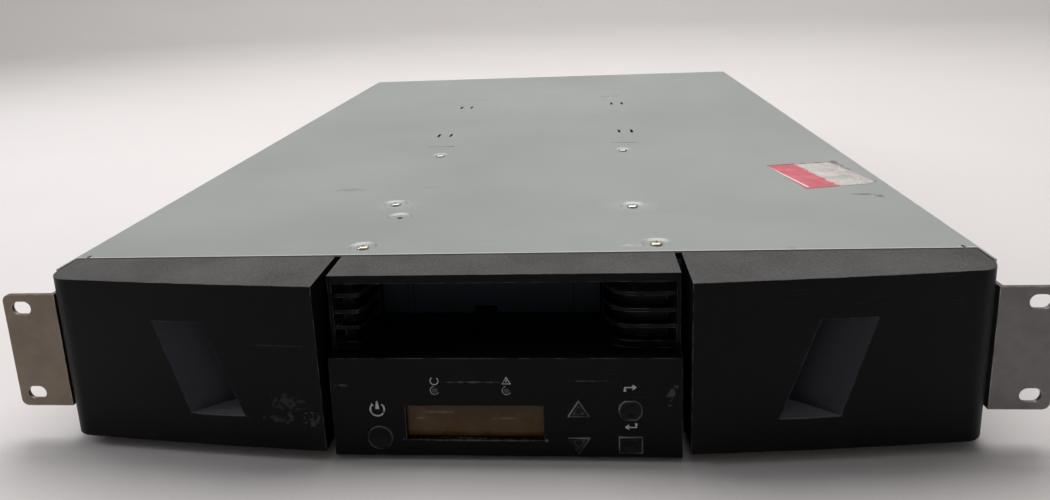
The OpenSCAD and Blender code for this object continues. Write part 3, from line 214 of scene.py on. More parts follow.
def axes(tree, vector):
    """The X, Y and Z of a vector, as outputs."""
    return add(tree, "ShaderNodeSeparateXYZ", {}, {"Vector": vector}).outputs


def mixed(tree, factor, a, b):
    """Mixes two colours, each an output or three screen values, by an output."""
    node = add(tree, "ShaderNodeMix", {}, {0: factor}, data_type="RGBA")
    for slot, colour in ((6, a), (7, b)):
        if isinstance(colour, bpy.types.NodeSocket):
            tree.links.new(colour, node.inputs[slot])
        else:
            node.inputs[slot].default_value = linear(*colour)
    return node.outputs[2]


def overlaid(tree, mask, strength, colour, shade):
    """Lays a shade over a colour where a mask is, by a strength that is a number or an output."""
    return mixed(tree, product(tree, mask, strength), colour, shade)


def new_group(name, inputs, outputs):
    """An empty shader group that works at a Place, and its two end nodes.

    Its other inputs are (name, v for a number or n for a vector, value); its outputs are masks.
    """
    group = bpy.data.node_groups.new(name, "ShaderNodeTree")
    kinds = {"v": "NodeSocketFloat", "n": "NodeSocketVector"}
    for label, kind, value in [("Place", "n", (0, 0, 0))] + inputs:
        socket = group.interface.new_socket(name=label, in_out="INPUT", socket_type=kinds[kind])
        socket.default_value = value
    for label in outputs:
        group.interface.new_socket(name=label, in_out="OUTPUT", socket_type=kinds["v"])
    return group, group.nodes.new("NodeGroupInput"), group.nodes.new("NodeGroupOutput")


# Fine irregular height of a rolled or moulded surface, with a slow cloudiness; sizes in mm
group, gi, go = new_group("surface_grain", [("Grain Size", "v", 1.0), ("Cloud Size", "v", 60.0)],
                          ["Grain", "Cloud"])
size = calc(group, "DIVIDE", 1000.0, gi.outputs["Grain Size"])
grain = add(group, "ShaderNodeTexNoise", {"Detail": 3.0, "Roughness": 0.6},
            {"Vector": gi.outputs["Place"], "Scale": size})
size = calc(group, "DIVIDE", 1000.0, gi.outputs["Cloud Size"])
cloud = add(group, "ShaderNodeTexNoise", {"Detail": 4.0, "Roughness": 0.55},
            {"Vector": gi.outputs["Place"], "Scale": size})
group.links.new(grain.outputs["Fac"], go.inputs["Grain"])
group.links.new(cloud.outputs["Fac"], go.inputs["Cloud"])
surface_grain = group

# Thin straight scratches in three directions, in patches
group, gi, go = new_group("scratches", [("Amount", "v", 0.5)], ["Mask"])
total = None
for turn, seed in (((0.0, 0.0, 0.35), 3.1), ((0.2, 0.0, -0.8), 11.7), ((0.0, 0.3, 1.45), 23.9)):
    lined = add(group, "ShaderNodeMapping", {"Rotation": turn, "Location": (seed, seed, seed),
                                             "Scale": (30.0, 900.0, 900.0)},
                {"Vector": gi.outputs["Place"]})
    fine = noise(group, lined.outputs["Vector"], 1.0, 1.0)
    patch = noise(group, gi.outputs["Place"], 2.0, 22.0)
    line = product(group, ramp(group, fine, 0.69, 0.74), ramp(group, patch, 0.52, 0.66))
    total = line if total is None else calc(group, "MAXIMUM", total, line)
total = product(group, total, gi.outputs["Amount"])
group.links.new(total, go.inputs["Mask"])
scratches = group

# Edges lightened from how far the rounded normal turns off the face: real wear on most finishes, a
# painted glint on the black mouldings and keys
group, gi, go = new_group("edge_wear", [("Radius", "v", 0.6), ("Amount", "v", 0.5)], ["Mask"])
radius = product(group, gi.outputs["Radius"], 0.001)
softer = add(group, "ShaderNodeBevel", {}, {"Radius": radius}, samples=4)
flat = add(group, "ShaderNodeNewGeometry")
agree = vector_calc(group, "DOT_PRODUCT", softer.outputs["Normal"], flat.outputs["Normal"])
broken = noise(group, gi.outputs["Place"], 4.0, 160.0)
bare = product(group, ramp(group, agree["Value"], 0.999, 0.93), ramp(group, broken, 0.42, 0.62),
               gi.outputs["Amount"])
group.links.new(bare, go.inputs["Mask"])
edge_wear = group

# One smudge or scuff: a ragged ellipsoid round a place, with its reach in metres
group, gi, go = new_group("mark_at", [("Centre", "n", (0, 0, 0)),
                                      ("Reach", "n", (0.01, 0.01, 0.01)),
                                      ("Raggedness", "v", 0.8)], ["Mask"])
away = vector_calc(group, "SUBTRACT", gi.outputs["Place"], gi.outputs["Centre"])
away = vector_calc(group, "DIVIDE", away["Vector"], gi.outputs["Reach"])
away = vector_calc(group, "LENGTH", away["Vector"])
ragged = calc(group, "SUBTRACT", noise(group, gi.outputs["Place"], 3.0, 420.0), 0.5)
ragged = product(group, ragged, gi.outputs["Raggedness"], 3.0)
far = calc(group, "ADD", away["Value"], ragged)
group.links.new(ramp(group, far, 1.0, 0.3), go.inputs["Mask"])
mark_at = group


def use(tree, group, values, place):
    """Places a shader group in a material; returns its outputs."""
    return add(tree, "ShaderNodeGroup", values, {"Place": place}, node_tree=group).outputs


def scratched(tree, place, colour, bare, amount):
    """Lays bare thin scratches over a colour."""
    return mixed(tree, use(tree, scratches, {"Amount": amount}, place)["Mask"], colour, bare)


def rubbed(tree, place, colour, bare, radius, amount):
    """Lightens the edges of a piece over a radius in mm: bare wear, and a painted glint on the
    black mouldings and keys.
    """
    wear_and_glint = use(tree, edge_wear, {"Radius": radius, "Amount": amount}, place)
    return mixed(tree, wear_and_glint["Mask"], colour, bare)


def material(name, grain, cloud):
    """A new material with grain and clouds of these sizes in mm.

    Returns it with its tree, its shader, its Object coordinates and the grain's two outputs.
    """
    made = bpy.data.materials.new(name)
    made.use_nodes = True
    tree = made.node_tree
    place = add(tree, "ShaderNodeTexCoord").outputs["Object"]
    skin = use(tree, surface_grain, {"Grain Size": grain, "Cloud Size": cloud}, place)
    return made, tree, tree.nodes["Principled BSDF"], place, skin


def dressed(tree, shader, colour, rough=None, bump=None, constants=None):
    """Joins up a shader.

    Its roughness runs (source, low, high), its bump is (height, strength, distance in metres),
    and the constants are set on its own sockets.
    """
    tree.links.new(colour, shader.inputs["Base Color"])
    if rough:
        source, low, high = rough
        node = add(tree, "ShaderNodeMapRange", {"To Min": low, "To Max": high}, {"Value": source})
        tree.links.new(node.outputs["Result"], shader.inputs["Roughness"])
    if bump:
        height, strength, distance = bump
        node = add(tree, "ShaderNodeBump", {"Strength": strength, "Distance": distance},
                   {"Height": height})
        tree.links.new(node.outputs["Normal"], shader.inputs["Normal"])
    for label, value in (constants or {}).items():
        shader.inputs[label].default_value = value


cover_film, tree, shader, place, skin = material("cover_film", 1.2, 150.0)
colour = mixed(tree, ramp(tree, skin["Cloud"], 0.3, 0.7), (146, 151, 150), (157, 161, 159))
colour = scratched(tree, place, colour, (170, 175, 173), 0.45)
# Stains and rubbed places: centre and reach in metres, shade and strength
for centre, reach, shade, strength in (
        ((-0.1085, -0.1886, 0.086), (0.014, 0.004, 0.01), (118, 122, 118), 0.6),
        ((-0.0575, -0.1860, 0.086), (0.006, 0.003, 0.01), (126, 130, 126), 0.5),
        ((0.1945, -0.2192, 0.086), (0.009, 0.0022, 0.01), (92, 94, 92), 0.8),
        ((0.2015, -0.2235, 0.086), (0.003, 0.0035, 0.01), (84, 86, 84), 0.8),
        ((0.1330, -0.3080, 0.086), (0.004, 0.0016, 0.01), (128, 132, 128), 0.6),
        ((0.0590, -0.3010, 0.086), (0.006, 0.002, 0.01), (190, 194, 190), 0.6),
        ((-0.0700, -0.2240, 0.086), (0.016, 0.012, 0.01), (178, 184, 180), 0.35),
        ((0.0650, -0.2330, 0.086), (0.018, 0.013, 0.01), (178, 184, 180), 0.35)):
    mark = use(tree, mark_at, {"Centre": centre, "Reach": reach}, place)
    colour = overlaid(tree, mark["Mask"], strength, colour, shade)
colour = rubbed(tree, place, colour, (200, 203, 201), 1.2, 0.75)
# A painted highlight: a thin bright line along the cover's front edge
front_edge, edge_fade = -0.3086, 0.0005
painted_front_highlight = ramp(tree, axes(tree, place)["Y"], front_edge, front_edge - edge_fade)
colour = overlaid(tree, painted_front_highlight, 0.7, colour, (204, 207, 205))
dressed(tree, shader, colour, (skin["Cloud"], 0.36, 0.5), (skin["Grain"], 0.06, 0.0004),
        {"Metallic": 0.35})
finish(softened("top_cover", 0.35, 15.0), cover_film)

# ------------------------------------------------------------
# Label remnant: what is left of a paper seal on the cover, printed red along one side and torn
# down to its white backing on the other. It is blank, and lies glued flat on the sheet.
# ------------------------------------------------------------
seal_corner = Vector((167.0, -205.8, 86.02)) / 1000
seal_along = Vector((46.5, 10.4, 0.0)) / 1000
seal_across = Vector((-9.4, 58.0, 0.0)) / 1000
seal_thick = Vector((0.0, 0.0, 0.00014))

tear = random.Random(41)
seal_edge = [(i / 6, 0.004 * tear.random()) for i in range(6)]
seal_edge += [(1.0 - 0.05 * tear.random() - 0.05 * math.sin(3.1 * i / 16), i / 16)
              for i in range(1, 17)]
seal_edge += [(1 - i / 14, 1.0 - 0.055 * tear.random() * (i < 9)) for i in range(1, 15)]
seal_edge += [(0.004 * tear.random(), 1 - i / 6) for i in range(1, 6)]


def banded(bm, rings):
    """Joins rings of vertices, each to the next, with a band of faces."""
    for low, high in zip(rings, rings[1:]):
        for i in range(len(low)):
            after = (i + 1) % len(low)
            bm.faces.new(tuple(dict.fromkeys((low[i], low[after], high[after], high[i]))))


def from_bmesh(name, bm):
    """A piece out of a finished bmesh, which is closed."""
    mesh = bpy.data.meshes.new(name)
    bm.to_mesh(mesh)
    bm.free()
    return new_piece(name, mesh)


bm = bmesh.new()
rim = [[bm.verts.new(seal_corner + seal_along * u + seal_across * v + lift) for u, v in seal_edge]
       for lift in (Vector(), seal_thick)]
bm.faces.new(rim[1])
bm.faces.new(rim[0][::-1])
banded(bm, rim)
label = from_bmesh("label_remnant", bm)

torn_paper, tree, shader, place, fibres = material("torn_paper", 0.9, 9.0)
from_corner = vector_calc(tree, "SUBTRACT", place, seal_corner)["Vector"]
along, across = (calc(tree, "DIVIDE", vector_calc(tree, "DOT_PRODUCT", from_corner,
                                                  side.normalized())["Value"], side.length)
                 for side in (seal_along, seal_across))
ragged = calc(tree, "ADD", along, product(tree, fibres["Cloud"], 0.16))
colour = mixed(tree, ramp(tree, fibres["Cloud"], 0.35, 0.65), (176, 170, 168), (206, 199, 196))
residue = product(tree, ramp(tree, fibres["Grain"], 0.5, 0.66), ramp(tree, ragged, 0.62, 0.8))
colour = overlaid(tree, residue, 0.75, colour, (120, 116, 112))
red = mixed(tree, ramp(tree, fibres["Cloud"], 0.3, 0.7), (188, 76, 88), (204, 112, 122))
colour = mixed(tree, ramp(tree, ragged, 0.53, 0.51), colour, red)
off_middle = calc(tree, "ABSOLUTE", calc(tree, "SUBTRACT", across, 0.5))
lined = product(tree, ramp(tree, along, 0.035, 0.045), ramp(tree, along, 0.075, 0.065),
                ramp(tree, off_middle, 0.46, 0.45))
colour = mixed(tree, lined, colour, (224, 210, 208))
torn = calc(tree, "MAXIMUM", ramp(tree, ragged, 1.0, 1.06), ramp(tree, across, 0.965, 0.985))
colour = overlaid(tree, torn, 0.8, colour, (86, 80, 76))
dressed(tree, shader, colour, (fibres["Grain"], 0.55, 0.8), (fibres["Grain"], 0.25, 0.0002))
finish(label, torn_paper)
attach(label, "chassis")

# ------------------------------------------------------------
# Screws: zinc-plated steel with a cross recess. Pan heads hold the cover in its dimples and at
# its folded sides, and thicker heads hold the ears. The front two are yellow passivated.
# ------------------------------------------------------------


def turned(name, outline, sides=24):
    """A closed solid turned round Z from its (radius, height) outline in mm, from axis to axis."""
    bm = bmesh.new()
    angles = [2 * math.pi * i / sides for i in range(sides)]
    rings = []
    for radius, height in outline:
        if radius == 0:
            rings.append([bm.verts.new((0, 0, height / 1000))] * sides)
        else:
            rings.append([bm.verts.new((radius / 1000 * math.cos(angle),
                                        radius / 1000 * math.sin(angle), height / 1000))
                          for angle in angles])
    banded(bm, rings)
    return from_bmesh(name, bm)


def bricks(name, boxes, taper=0.0):
    """A piece made of boxes in mm, their low ends narrower by taper on each side in X and Y."""
    bm = bmesh.new()
    for low, high in boxes:
        corners = []
        for z in (0, 1):
            less = taper * (1 - z)
            corners += [bm.verts.new(((high[0] - less if x else low[0] + less) / 1000,
                                      (high[1] - less if y else low[1] + less) / 1000,
                                      (high[2] if z else low[2]) / 1000))
                        for y in (0, 1) for x in (0, 1)]
        for face in ((0, 2, 3, 1), (4, 5, 7, 6), (0, 1, 5, 4), (2, 6, 7, 3), (0, 4, 6, 2),
                     (1, 3, 7, 5)):
            bm.faces.new([corners[i] for i in face])
    return from_bmesh(name, bm)


def cut(piece, tool):
    """Cuts a tool piece out of a piece, and removes the tool."""
    boolean = piece.modifiers.new("cut", "BOOLEAN")
    boolean.operation = "DIFFERENCE"
    boolean.solver = "EXACT"
    boolean.use_self = True
    boolean.object = tool
    applied(piece)
    bpy.data.objects.remove(tool)
    return smoothed(piece)


def joined(name, pieces):
    """One piece out of several, which are removed."""
    bm = bmesh.new()
    for piece in pieces:
        bm.from_mesh(piece.data)
        bpy.data.objects.remove(piece)
    return from_bmesh(name, bm)


def solids_of(node):
    """The (low, high) corners of each separate solid of a CAD node."""
    bm = bmesh.new()
    bm.from_mesh(nodes[node].data)
    welded(bm)
    seen, found = set(), []
    for first in bm.verts:
        if first in seen:
            continue
        seen.add(first)
        reached, waiting = [first], [first]
        while waiting:
            for edge in waiting.pop().link_edges:
                for vert in edge.verts:
                    if vert not in seen:
                        seen.add(vert)
                        reached.append(vert)
                        waiting.append(vert)
        found.append((Vector([min(v.co[i] for v in reached) for i in range(3)]),
                      Vector([max(v.co[i] for v in reached) for i in range(3)])))
    bm.free()
    return found


# Copies of a pattern piece at the points of a mesh, turned by their "turn" attribute and twisted
# about their own axis by a seeded amount
copies = bpy.data.node_groups.new("copies_at_points", "GeometryNodeTree")
for label, kind in (("Geometry", "NodeSocketGeometry"), ("Pattern", "NodeSocketObject"),
                    ("Finish", "NodeSocketMaterial"), ("Most Twist", "NodeSocketFloat"),
                    ("Seed", "NodeSocketInt")):
    copies.interface.new_socket(name=label, in_out="INPUT", socket_type=kind)
copies.interface.new_socket(name="Geometry", in_out="OUTPUT", socket_type="NodeSocketGeometry")
gi = copies.nodes.new("NodeGroupInput")
turn = add(copies, "GeometryNodeInputNamedAttribute", {"Name": "turn"}, data_type="FLOAT_VECTOR")
turn = add(copies, "FunctionNodeEulerToRotation", {}, {0: turn.outputs["Attribute"]})
least = product(copies, gi.outputs["Most Twist"], -1.0)
twist = add(copies, "FunctionNodeRandomValue", {},
            {2: least, 3: gi.outputs["Most Twist"], "Seed": gi.outputs["Seed"]}, data_type="FLOAT")
twist = add(copies, "ShaderNodeCombineXYZ", {}, {"Z": twist.outputs[1]})
twist = add(copies, "FunctionNodeEulerToRotation", {}, {0: twist.outputs[0]})
both = add(copies, "FunctionNodeRotateRotation", {}, {0: turn.outputs[0], 1: twist.outputs[0]},
           rotation_space="LOCAL")
pattern = add(copies, "GeometryNodeObjectInfo", {}, {"Object": gi.outputs["Pattern"]},
              transform_space="ORIGINAL")
copied = add(copies, "GeometryNodeInstanceOnPoints", {},
             {"Points": gi.outputs["Geometry"], "Instance": pattern.outputs["Geometry"],
              "Rotation": both.outputs[0]})
copied = add(copies, "GeometryNodeRealizeInstances", {}, {"Geometry": copied.outputs[0]})
copied = add(copies, "GeometryNodeSetMaterial", {},
             {"Geometry": copied.outputs[0], "Material": gi.outputs["Finish"]})
go = copies.nodes.new("NodeGroupOutput")
copies.links.new(copied.outputs[0], go.inputs["Geometry"])


def set_out(name, places, pattern, finish_material, most_twist=0.0, seed=1):
    """Copies a pattern piece to (point, direction of its Z, spin) places, as one plain mesh."""
    mesh = bpy.data.meshes.new(name)
    mesh.from_pydata([tuple(point) for point, facing, spin in places], [], [])
    turns = mesh.attributes.new("turn", "FLOAT_VECTOR", "POINT")
    for i, (point, facing, spin) in enumerate(places):
        aimed = Vector(facing).to_track_quat("Z", "Y").to_matrix() @ Matrix.Rotation(spin, 3, "Z")
        turns.data[i].vector = aimed.to_euler()
    piece = linked(name, mesh)
    modifier = piece.modifiers.new("copies", "NODES")
    modifier.node_group = copies
    sockets = {item.name: item.identifier for item in copies.interface.items_tree
               if item.in_out == "INPUT"}
    for label, value in (("Pattern", pattern), ("Finish", finish_material),
                         ("Most Twist", most_twist), ("Seed", seed)):
        modifier[sockets[label]] = value
    applied(piece)
    bpy.data.objects.remove(pattern)
    return smoothed(piece)


bright_zinc, tree, shader, place, skin = material("bright_zinc", 0.4, 4.0)
colour = mixed(tree, skin["Cloud"], (176, 176, 174), (206, 206, 204))
apart = axes(tree, place)
yellow = product(tree, ramp(tree, apart["Y"], -0.292, -0.2945),
                 ramp(tree, apart["Z"], 0.080, 0.082))
colour = overlaid(tree, yellow, 0.5, colour, (206, 194, 150))
colour = rubbed(tree, place, colour, (222, 222, 220), 0.25, 0.6)
dressed(tree, shader, colour, (skin["Grain"], 0.2, 0.34), (skin["Grain"], 0.08, 0.0001),
        {"Metallic": 0.95})

# Head radius, head height and length under the top of the head, which tells the kinds apart
screw_kinds = ((3.0, 1.3, 4.1), (2.6, 1.0, 3.5), (3.0, 1.6, 5.4))
shank_r, shank_tip, length_slack = 1.4, 0.3, 0.05
recess_half, recess_wide, recess_deep, recess_taper = 1.75, 0.32, 0.8, 0.12
made = []
for head_r, head_h, long in screw_kinds:
    places = []
    for low, high in solids_of("case_screws"):
        size = high - low
        axis = min(range(3), key=lambda i: size[i])
        if abs(size[axis] * 1000 - long) < length_slack:
            outward = Vector((0, 0, 0))
            outward[axis] = 1.0 if axis == 2 or low[axis] > 0 else -1.0
            point = (low + high) / 2
            point[axis] = high[axis] if outward[axis] > 0 else low[axis]
            places.append((point, outward, 0.0))
    head = turned("screw_head", [(0, -long), (shank_r - shank_tip, -long),
                                 (shank_r, -long + shank_tip), (shank_r, -head_h),
                                 (head_r, -head_h), (head_r, -head_h * 0.55),
                                 (head_r * 0.93, -head_h * 0.25), (head_r * 0.7, -head_h * 0.06),
                                 (head_r * 0.35, 0), (0, 0)])
    cross = bricks("cross_recess", [((-x, -y, -recess_deep), (x, y, 0.2)) for x, y in (
        (recess_half, recess_wide), (recess_wide, recess_half))], recess_taper)
    made.append(set_out("screws", places, cut(head, cross), bright_zinc, math.pi, 7))
screws = finish(joined("case_screws_cut", made), bright_zinc)
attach(screws, "chassis")
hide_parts("case_screws")
finish(nodes["door_pin"], bright_zinc)

# ------------------------------------------------------------
# Chassis: a folded tray of zinc-coated sheet, with its rear panel, the two bay walls, the floor
# bracket of the picker, and the boxes of the supply and the drive sled, spot welded or screwed.
# Rails of natural acetal are clipped in beside each magazine.
# ------------------------------------------------------------
zinc_sheet, tree, shader, place, skin = material("zinc_sheet", 0.8, 40.0)
spangle = add(tree, "ShaderNodeTexVoronoi", {"Scale": 170.0}, {"Vector": place})
spangle = ramp(tree, spangle.outputs["Color"], 0.0, 1.0)
colour = mixed(tree, spangle, (150, 153, 152), (166, 168, 166))
colour = overlaid(tree, skin["Cloud"], 0.3, colour, (128, 132, 130))
colour = scratched(tree, place, colour, (188, 190, 188), 0.4)
colour = rubbed(tree, place, colour, (205, 206, 204), 0.8, 0.6)
dressed(tree, shader, colour, (skin["Cloud"], 0.34, 0.52), (skin["Grain"], 0.05, 0.0003),
        {"Metallic": 0.7})
for node in ("chassis_tray", "rear_panel", "left_bay_wall", "right_bay_wall", "picker_base"):
    finish(softened(node, 0.2), zinc_sheet)
for node in ("drive_sled", "power_supply"):
    finish(softened(node, 0.2, grilled=True), zinc_sheet)

natural_acetal, tree, shader, place, skin = material("natural_acetal", 0.6, 12.0)
colour = mixed(tree, skin["Cloud"], (206, 205, 196), (224, 223, 216))
colour = scratched(tree, place, colour, (170, 169, 162), 0.8)
dressed(tree, shader, colour, (skin["Grain"], 0.32, 0.5), (skin["Grain"], 0.08, 0.0002))
finish(softened("magazine_rails", 0.3), natural_acetal)

# ------------------------------------------------------------
# Rack ears: 2 mm steel angles with a satin nickel plating, tarnished brown on the left. Each has
# two slots for the rack's screws and lies along the side wall with six screws.
# ------------------------------------------------------------
for side, dull, bright, stain in (("left", (112, 101, 90), (136, 124, 111), (86, 75, 64)),
                                  ("right", (101, 99, 99), (121, 119, 118), (80, 78, 77))):
    satin_nickel, tree, shader, place, skin = material(side + "_satin_nickel", 0.5, 17.0)
    drawn = add(tree, "ShaderNodeMapping", {"Scale": (14.0, 500.0, 500.0)}, {"Vector": place})
    brushing = noise(tree, drawn.outputs["Vector"], 4.0, 1.0)
    colour = mixed(tree, ramp(tree, skin["Cloud"], 0.32, 0.68), dull, bright)
    colour = overlaid(tree, brushing, 0.35, colour, dull)
    colour = overlaid(tree, ramp(tree, skin["Cloud"], 0.56, 0.72), 0.5, colour, stain)
    colour = scratched(tree, place, colour, (150, 146, 140), 0.5)
    colour = rubbed(tree, place, colour, (196, 192, 186), 0.7, 0.9)
    dressed(tree, shader, colour, (skin["Cloud"], 0.34, 0.5), (brushing, 0.05, 0.0002),
            {"Metallic": 0.85})
    finish(softened(side + "_rack_ear", 0.3), satin_nickel)

# ------------------------------------------------------------
# Front mouldings: the two drawer fronts with their scooped grips and the centre front with its
# ribbed mail slot. Near black ABS with a fine spark-eroded grain, its edges painted lighter as
# glints.
# ------------------------------------------------------------
front_black, tree, shader, place, skin = material("front_black", 0.5, 70.0)
dust = use(tree, surface_grain, {"Grain Size": 0.6, "Cloud Size": 45.0}, place)
facing = axes(tree, add(tree, "ShaderNodeNewGeometry").outputs["Normal"])
at = axes(tree, place)
lying = product(tree, ramp(tree, facing["Z"], 0.35, 0.95), ramp(tree, at["Z"], 0.070, 0.082))
speckle = calc(tree, "ADD", product(tree, dust["Cloud"], 0.5),
               product(tree, ramp(tree, dust["Grain"], 0.45, 0.7), 0.35))
colour = mixed(tree, ramp(tree, skin["Cloud"], 0.3, 0.7), (6, 7, 9), (10, 11, 14))
# Painted light: the scooped grips' walls, which lean away from the front, and their up-facing
# floors are painted paler
grip_near, grip_far, grip_foot, grip_top, fade = 0.090, 0.202, 0.010, 0.076, 0.002
away = ramp(tree, product(tree, facing["Y"], -1.0), 0.96, 0.8)
from_middle = calc(tree, "ABSOLUTE", at["X"])
scoop = product(tree, ramp(tree, from_middle, grip_near, grip_near + fade),
                ramp(tree, from_middle, grip_far, grip_far - fade),
                ramp(tree, at["Z"], grip_top, grip_top - fade),
                ramp(tree, at["Z"], grip_foot, grip_foot + fade))
colour = overlaid(tree, scoop, away, colour, (54, 56, 63))
colour = overlaid(tree, scoop, ramp(tree, facing["Z"], 0.5, 0.9), colour, (128, 130, 138))
colour = overlaid(tree, lying, speckle, colour, (124, 122, 120))
# Scuffs, and painted highlights on the display's sill and grip lips: centre, reach in metres,
# raggedness, strength
for centre, reach, ragged, strength in (
        ((-0.0140, -0.3468, 0.0386), (0.015, 0.004, 0.0004), 0.8, 0.8),
        ((0.0400, -0.3468, 0.0392), (0.009, 0.004, 0.0003), 0.8, 0.5),
        ((-0.0735, -0.3470, 0.0370), (0.003, 0.004, 0.0009), 0.8, 0.7),
        ((0.0745, -0.3475, 0.0330), (0.002, 0.004, 0.0030), 2.4, 0.5),
        ((-0.1760, -0.3493, 0.0543), (0.020, 0.004, 0.0003), 0.8, 0.25),
        ((-0.1020, -0.3493, 0.0574), (0.019, 0.004, 0.0003), 0.8, 0.22),
        ((-0.0990, -0.3493, 0.0290), (0.005, 0.004, 0.0035), 2.6, 0.22),
        ((-0.1040, -0.3493, 0.0205), (0.006, 0.004, 0.0016), 2.6, 0.22),
        ((-0.0880, -0.3493, 0.0210), (0.003, 0.004, 0.0030), 2.4, 0.35),
        ((-0.0137, -0.3477, 0.0102), (0.031, 0.004, 0.0005), 0.8, 0.8),
        ((-0.0462, -0.3477, 0.0104), (0.0010, 0.004, 0.0009), 0.8, 0.9),
        ((0.0186, -0.3477, 0.0103), (0.0010, 0.004, 0.0009), 0.8, 0.9),
        ((-0.1340, -0.3478, 0.0215), (0.017, 0.006, 0.0007), 0.2, 0.9),
        ((0.1340, -0.3478, 0.0215), (0.017, 0.006, 0.0007), 0.2, 0.6)):
    mark = use(tree, mark_at, {"Centre": centre, "Reach": reach, "Raggedness": ragged}, place)
    colour = overlaid(tree, mark["Mask"], strength, colour, (92, 92, 94))
colour = scratched(tree, place, colour, (60, 61, 62), 0.15)
# Painted glints: the rounded edges are painted lighter, as highlights
colour = rubbed(tree, place, colour, (110, 113, 118), 0.5, 0.8)
# A painted shadow: a dark line on the up-facing tops along their rear edge, at the gap to the cover
seam = ramp(tree, at["Y"], -0.3116, -0.3112)
colour = overlaid(tree, seam, ramp(tree, facing["Z"], 0.8, 0.95), colour, (8, 8, 9))
dressed(tree, shader, colour, (skin["Grain"], 0.36, 0.5), (skin["Grain"], 0.2, 0.0003),
        {"Specular IOR Level": 0.1})
for node, width in (("left_magazine_bezel", 0.7), ("right_magazine_bezel", 0.7),
                    ("centre_bezel", 0.4)):
    finish(softened(node, width), front_black)

# ------------------------------------------------------------
# Mail slot: a glass-filled chute behind the front's opening, and the flap that hangs from a pin
# across it, both a blue-black that hardly anything lights. The fans are moulded in plain black.
# ------------------------------------------------------------
for name, dark, light in (("slot_black", (18, 27, 36), (23, 33, 43)),
                          ("fan_black", (20, 21, 23), (28, 29, 31))):
    moulded, tree, shader, place, skin = material(name, 0.4, 15.0)
    colour = mixed(tree, ramp(tree, skin["Cloud"], 0.3, 0.7), dark, light)
    colour = rubbed(tree, place, colour, (54, 57, 60), 0.5, 0.4)
    dressed(tree, shader, colour, (skin["Grain"], 0.36, 0.5), (skin["Grain"], 0.15, 0.0002),
            {"Specular IOR Level": 0.12})
    if name == "slot_black":
        finish(softened("mail_slot_chute", 0.3), moulded)
        finish(softened("mail_slot_door", 0.25), moulded)
    else:
        for node in ("sled_fan_frame", "sled_fan_rotor", "psu_fan_rotor"):
            finish(softened(node, 0.25), moulded)

# ------------------------------------------------------------
# Keys: five sprung caps of black plastic in the leaning lower face, each with a raised rim round
# a shallow dish. Their sides, rims and edges are painted lighter as highlights. The mains rocker
# and inlet are of the same.
# ------------------------------------------------------------
key_black, tree, shader, place, skin = material("key_black", 0.35, 9.0)
colour = mixed(tree, skin["Cloud"], (7, 7, 8), (11, 11, 12))
facing = axes(tree, add(tree, "ShaderNodeNewGeometry").outputs["Normal"])
# Painted highlights: faces that don't face front or back, and the rounded edges, are painted light
# grey
edge = ramp(tree, calc(tree, "ABSOLUTE", facing["Y"]), 0.93, 0.8)
colour = overlaid(tree, edge, 0.8, colour, (146, 147, 150))
colour = rubbed(tree, place, colour, (190, 190, 192), 0.45, 1.0)
dressed(tree, shader, colour, (skin["Grain"], 0.22, 0.32), (skin["Grain"], 0.1, 0.0002),
        {"Specular IOR Level": 0.14})


def dished(node, hollow, depth, width):
    """A rounded copy of a key with a round hollow over a share of its front, depth in mm."""
    piece, bm = opened(node, "_finished")
    bm.normal_update()
    front = max((f for f in bm.faces if f.normal.y < -0.9),
                key=lambda f: (round(-f.calc_center_median().y, 4), f.calc_area()))
    middle, outline = front.calc_center_median(), list(front.verts)
    inward = -front.normal * depth / 1000
    bm.faces.remove(front)
    rim = [bm.verts.new(middle + (vert.co - middle) * hollow) for vert in outline]
    rings = [outline, rim]
    for share in (0.8, 0.55, 0.28):
        sunk = inward * (1 - share ** 2)
        rings.append([bm.verts.new(middle + (vert.co - middle) * share + sunk) for vert in rim])
    banded(bm, rings)
    bm.faces.new(rings[-1])
    rounded(piece, bm, node, width, corners="MITER_SHARP")
    finish(piece, key_black)


for node, hollow, depth, width in (("power_button", 0.8, 1.1, 0.45),
                                   ("escape_button", 0.76, 0.9, 0.3),
                                   ("enter_button", 0.76, 0.9, 0.3),
                                   ("up_button", 0.7, 0.6, 0.25),
                                   ("down_button", 0.7, 0.6, 0.25)):
    dished(node, hollow, depth, width)
for node in ("power_switch", "power_inlet"):
    finish(softened(node, 0.25), key_black)

# ------------------------------------------------------------
# Printed signs: plain grey marks screened on the leaning face beside the keys and the two lights,
# a standby sign, a ring, a triangle and two arrows. The ink is a few hundredths thick and worn.
# ------------------------------------------------------------
face_foot, face_lean, ink_proud, ink_sunk = (-347.9, 2.5), 1.6 / 47.5, 0.05, -0.03


def on_face(x, z, proud):
    """A point of the leaning face in metres, standing proud by mm."""
    return Vector((x, face_foot[0] + face_lean * (z - face_foot[1]) - proud, z)) / 1000


def stroke(bm, line, width, closed=False):
    """Adds a thin closed strip of ink along a line of (x, z) points in mm."""
    line = [Vector(p) for p in line]
    count, rings = len(line), []
    for i, point in enumerate(line):
        before = line[i - 1] if closed or i else point
        after = line[(i + 1) % count] if closed or i < count - 1 else point
        into, out = point - before, after - point
        into, out = (into or out).normalized(), (out or into).normalized()
        middle = (into + out).normalized()
        across = Vector((-middle.y, middle.x)) * width / 2 / max(0.4, middle.dot(into))
        rings.append([bm.verts.new(on_face(*(point + across * side), proud)) for side, proud in (
            (1, ink_proud), (-1, ink_proud), (-1, ink_sunk), (1, ink_sunk))])
    banded(bm, rings + rings[:1] if closed else rings)
    if not closed:
        bm.faces.new(rings[0][::-1])
        bm.faces.new(rings[-1])


def arc(x, z, radius, start, end, steps=28):
    """Points of an arc round (x, z), in degrees from +X towards +Z."""
    angles = [math.radians(start + (end - start) * i / steps) for i in range(steps + 1)]
    return [(x + radius * math.cos(angle), z + radius * math.sin(angle)) for angle in angles]


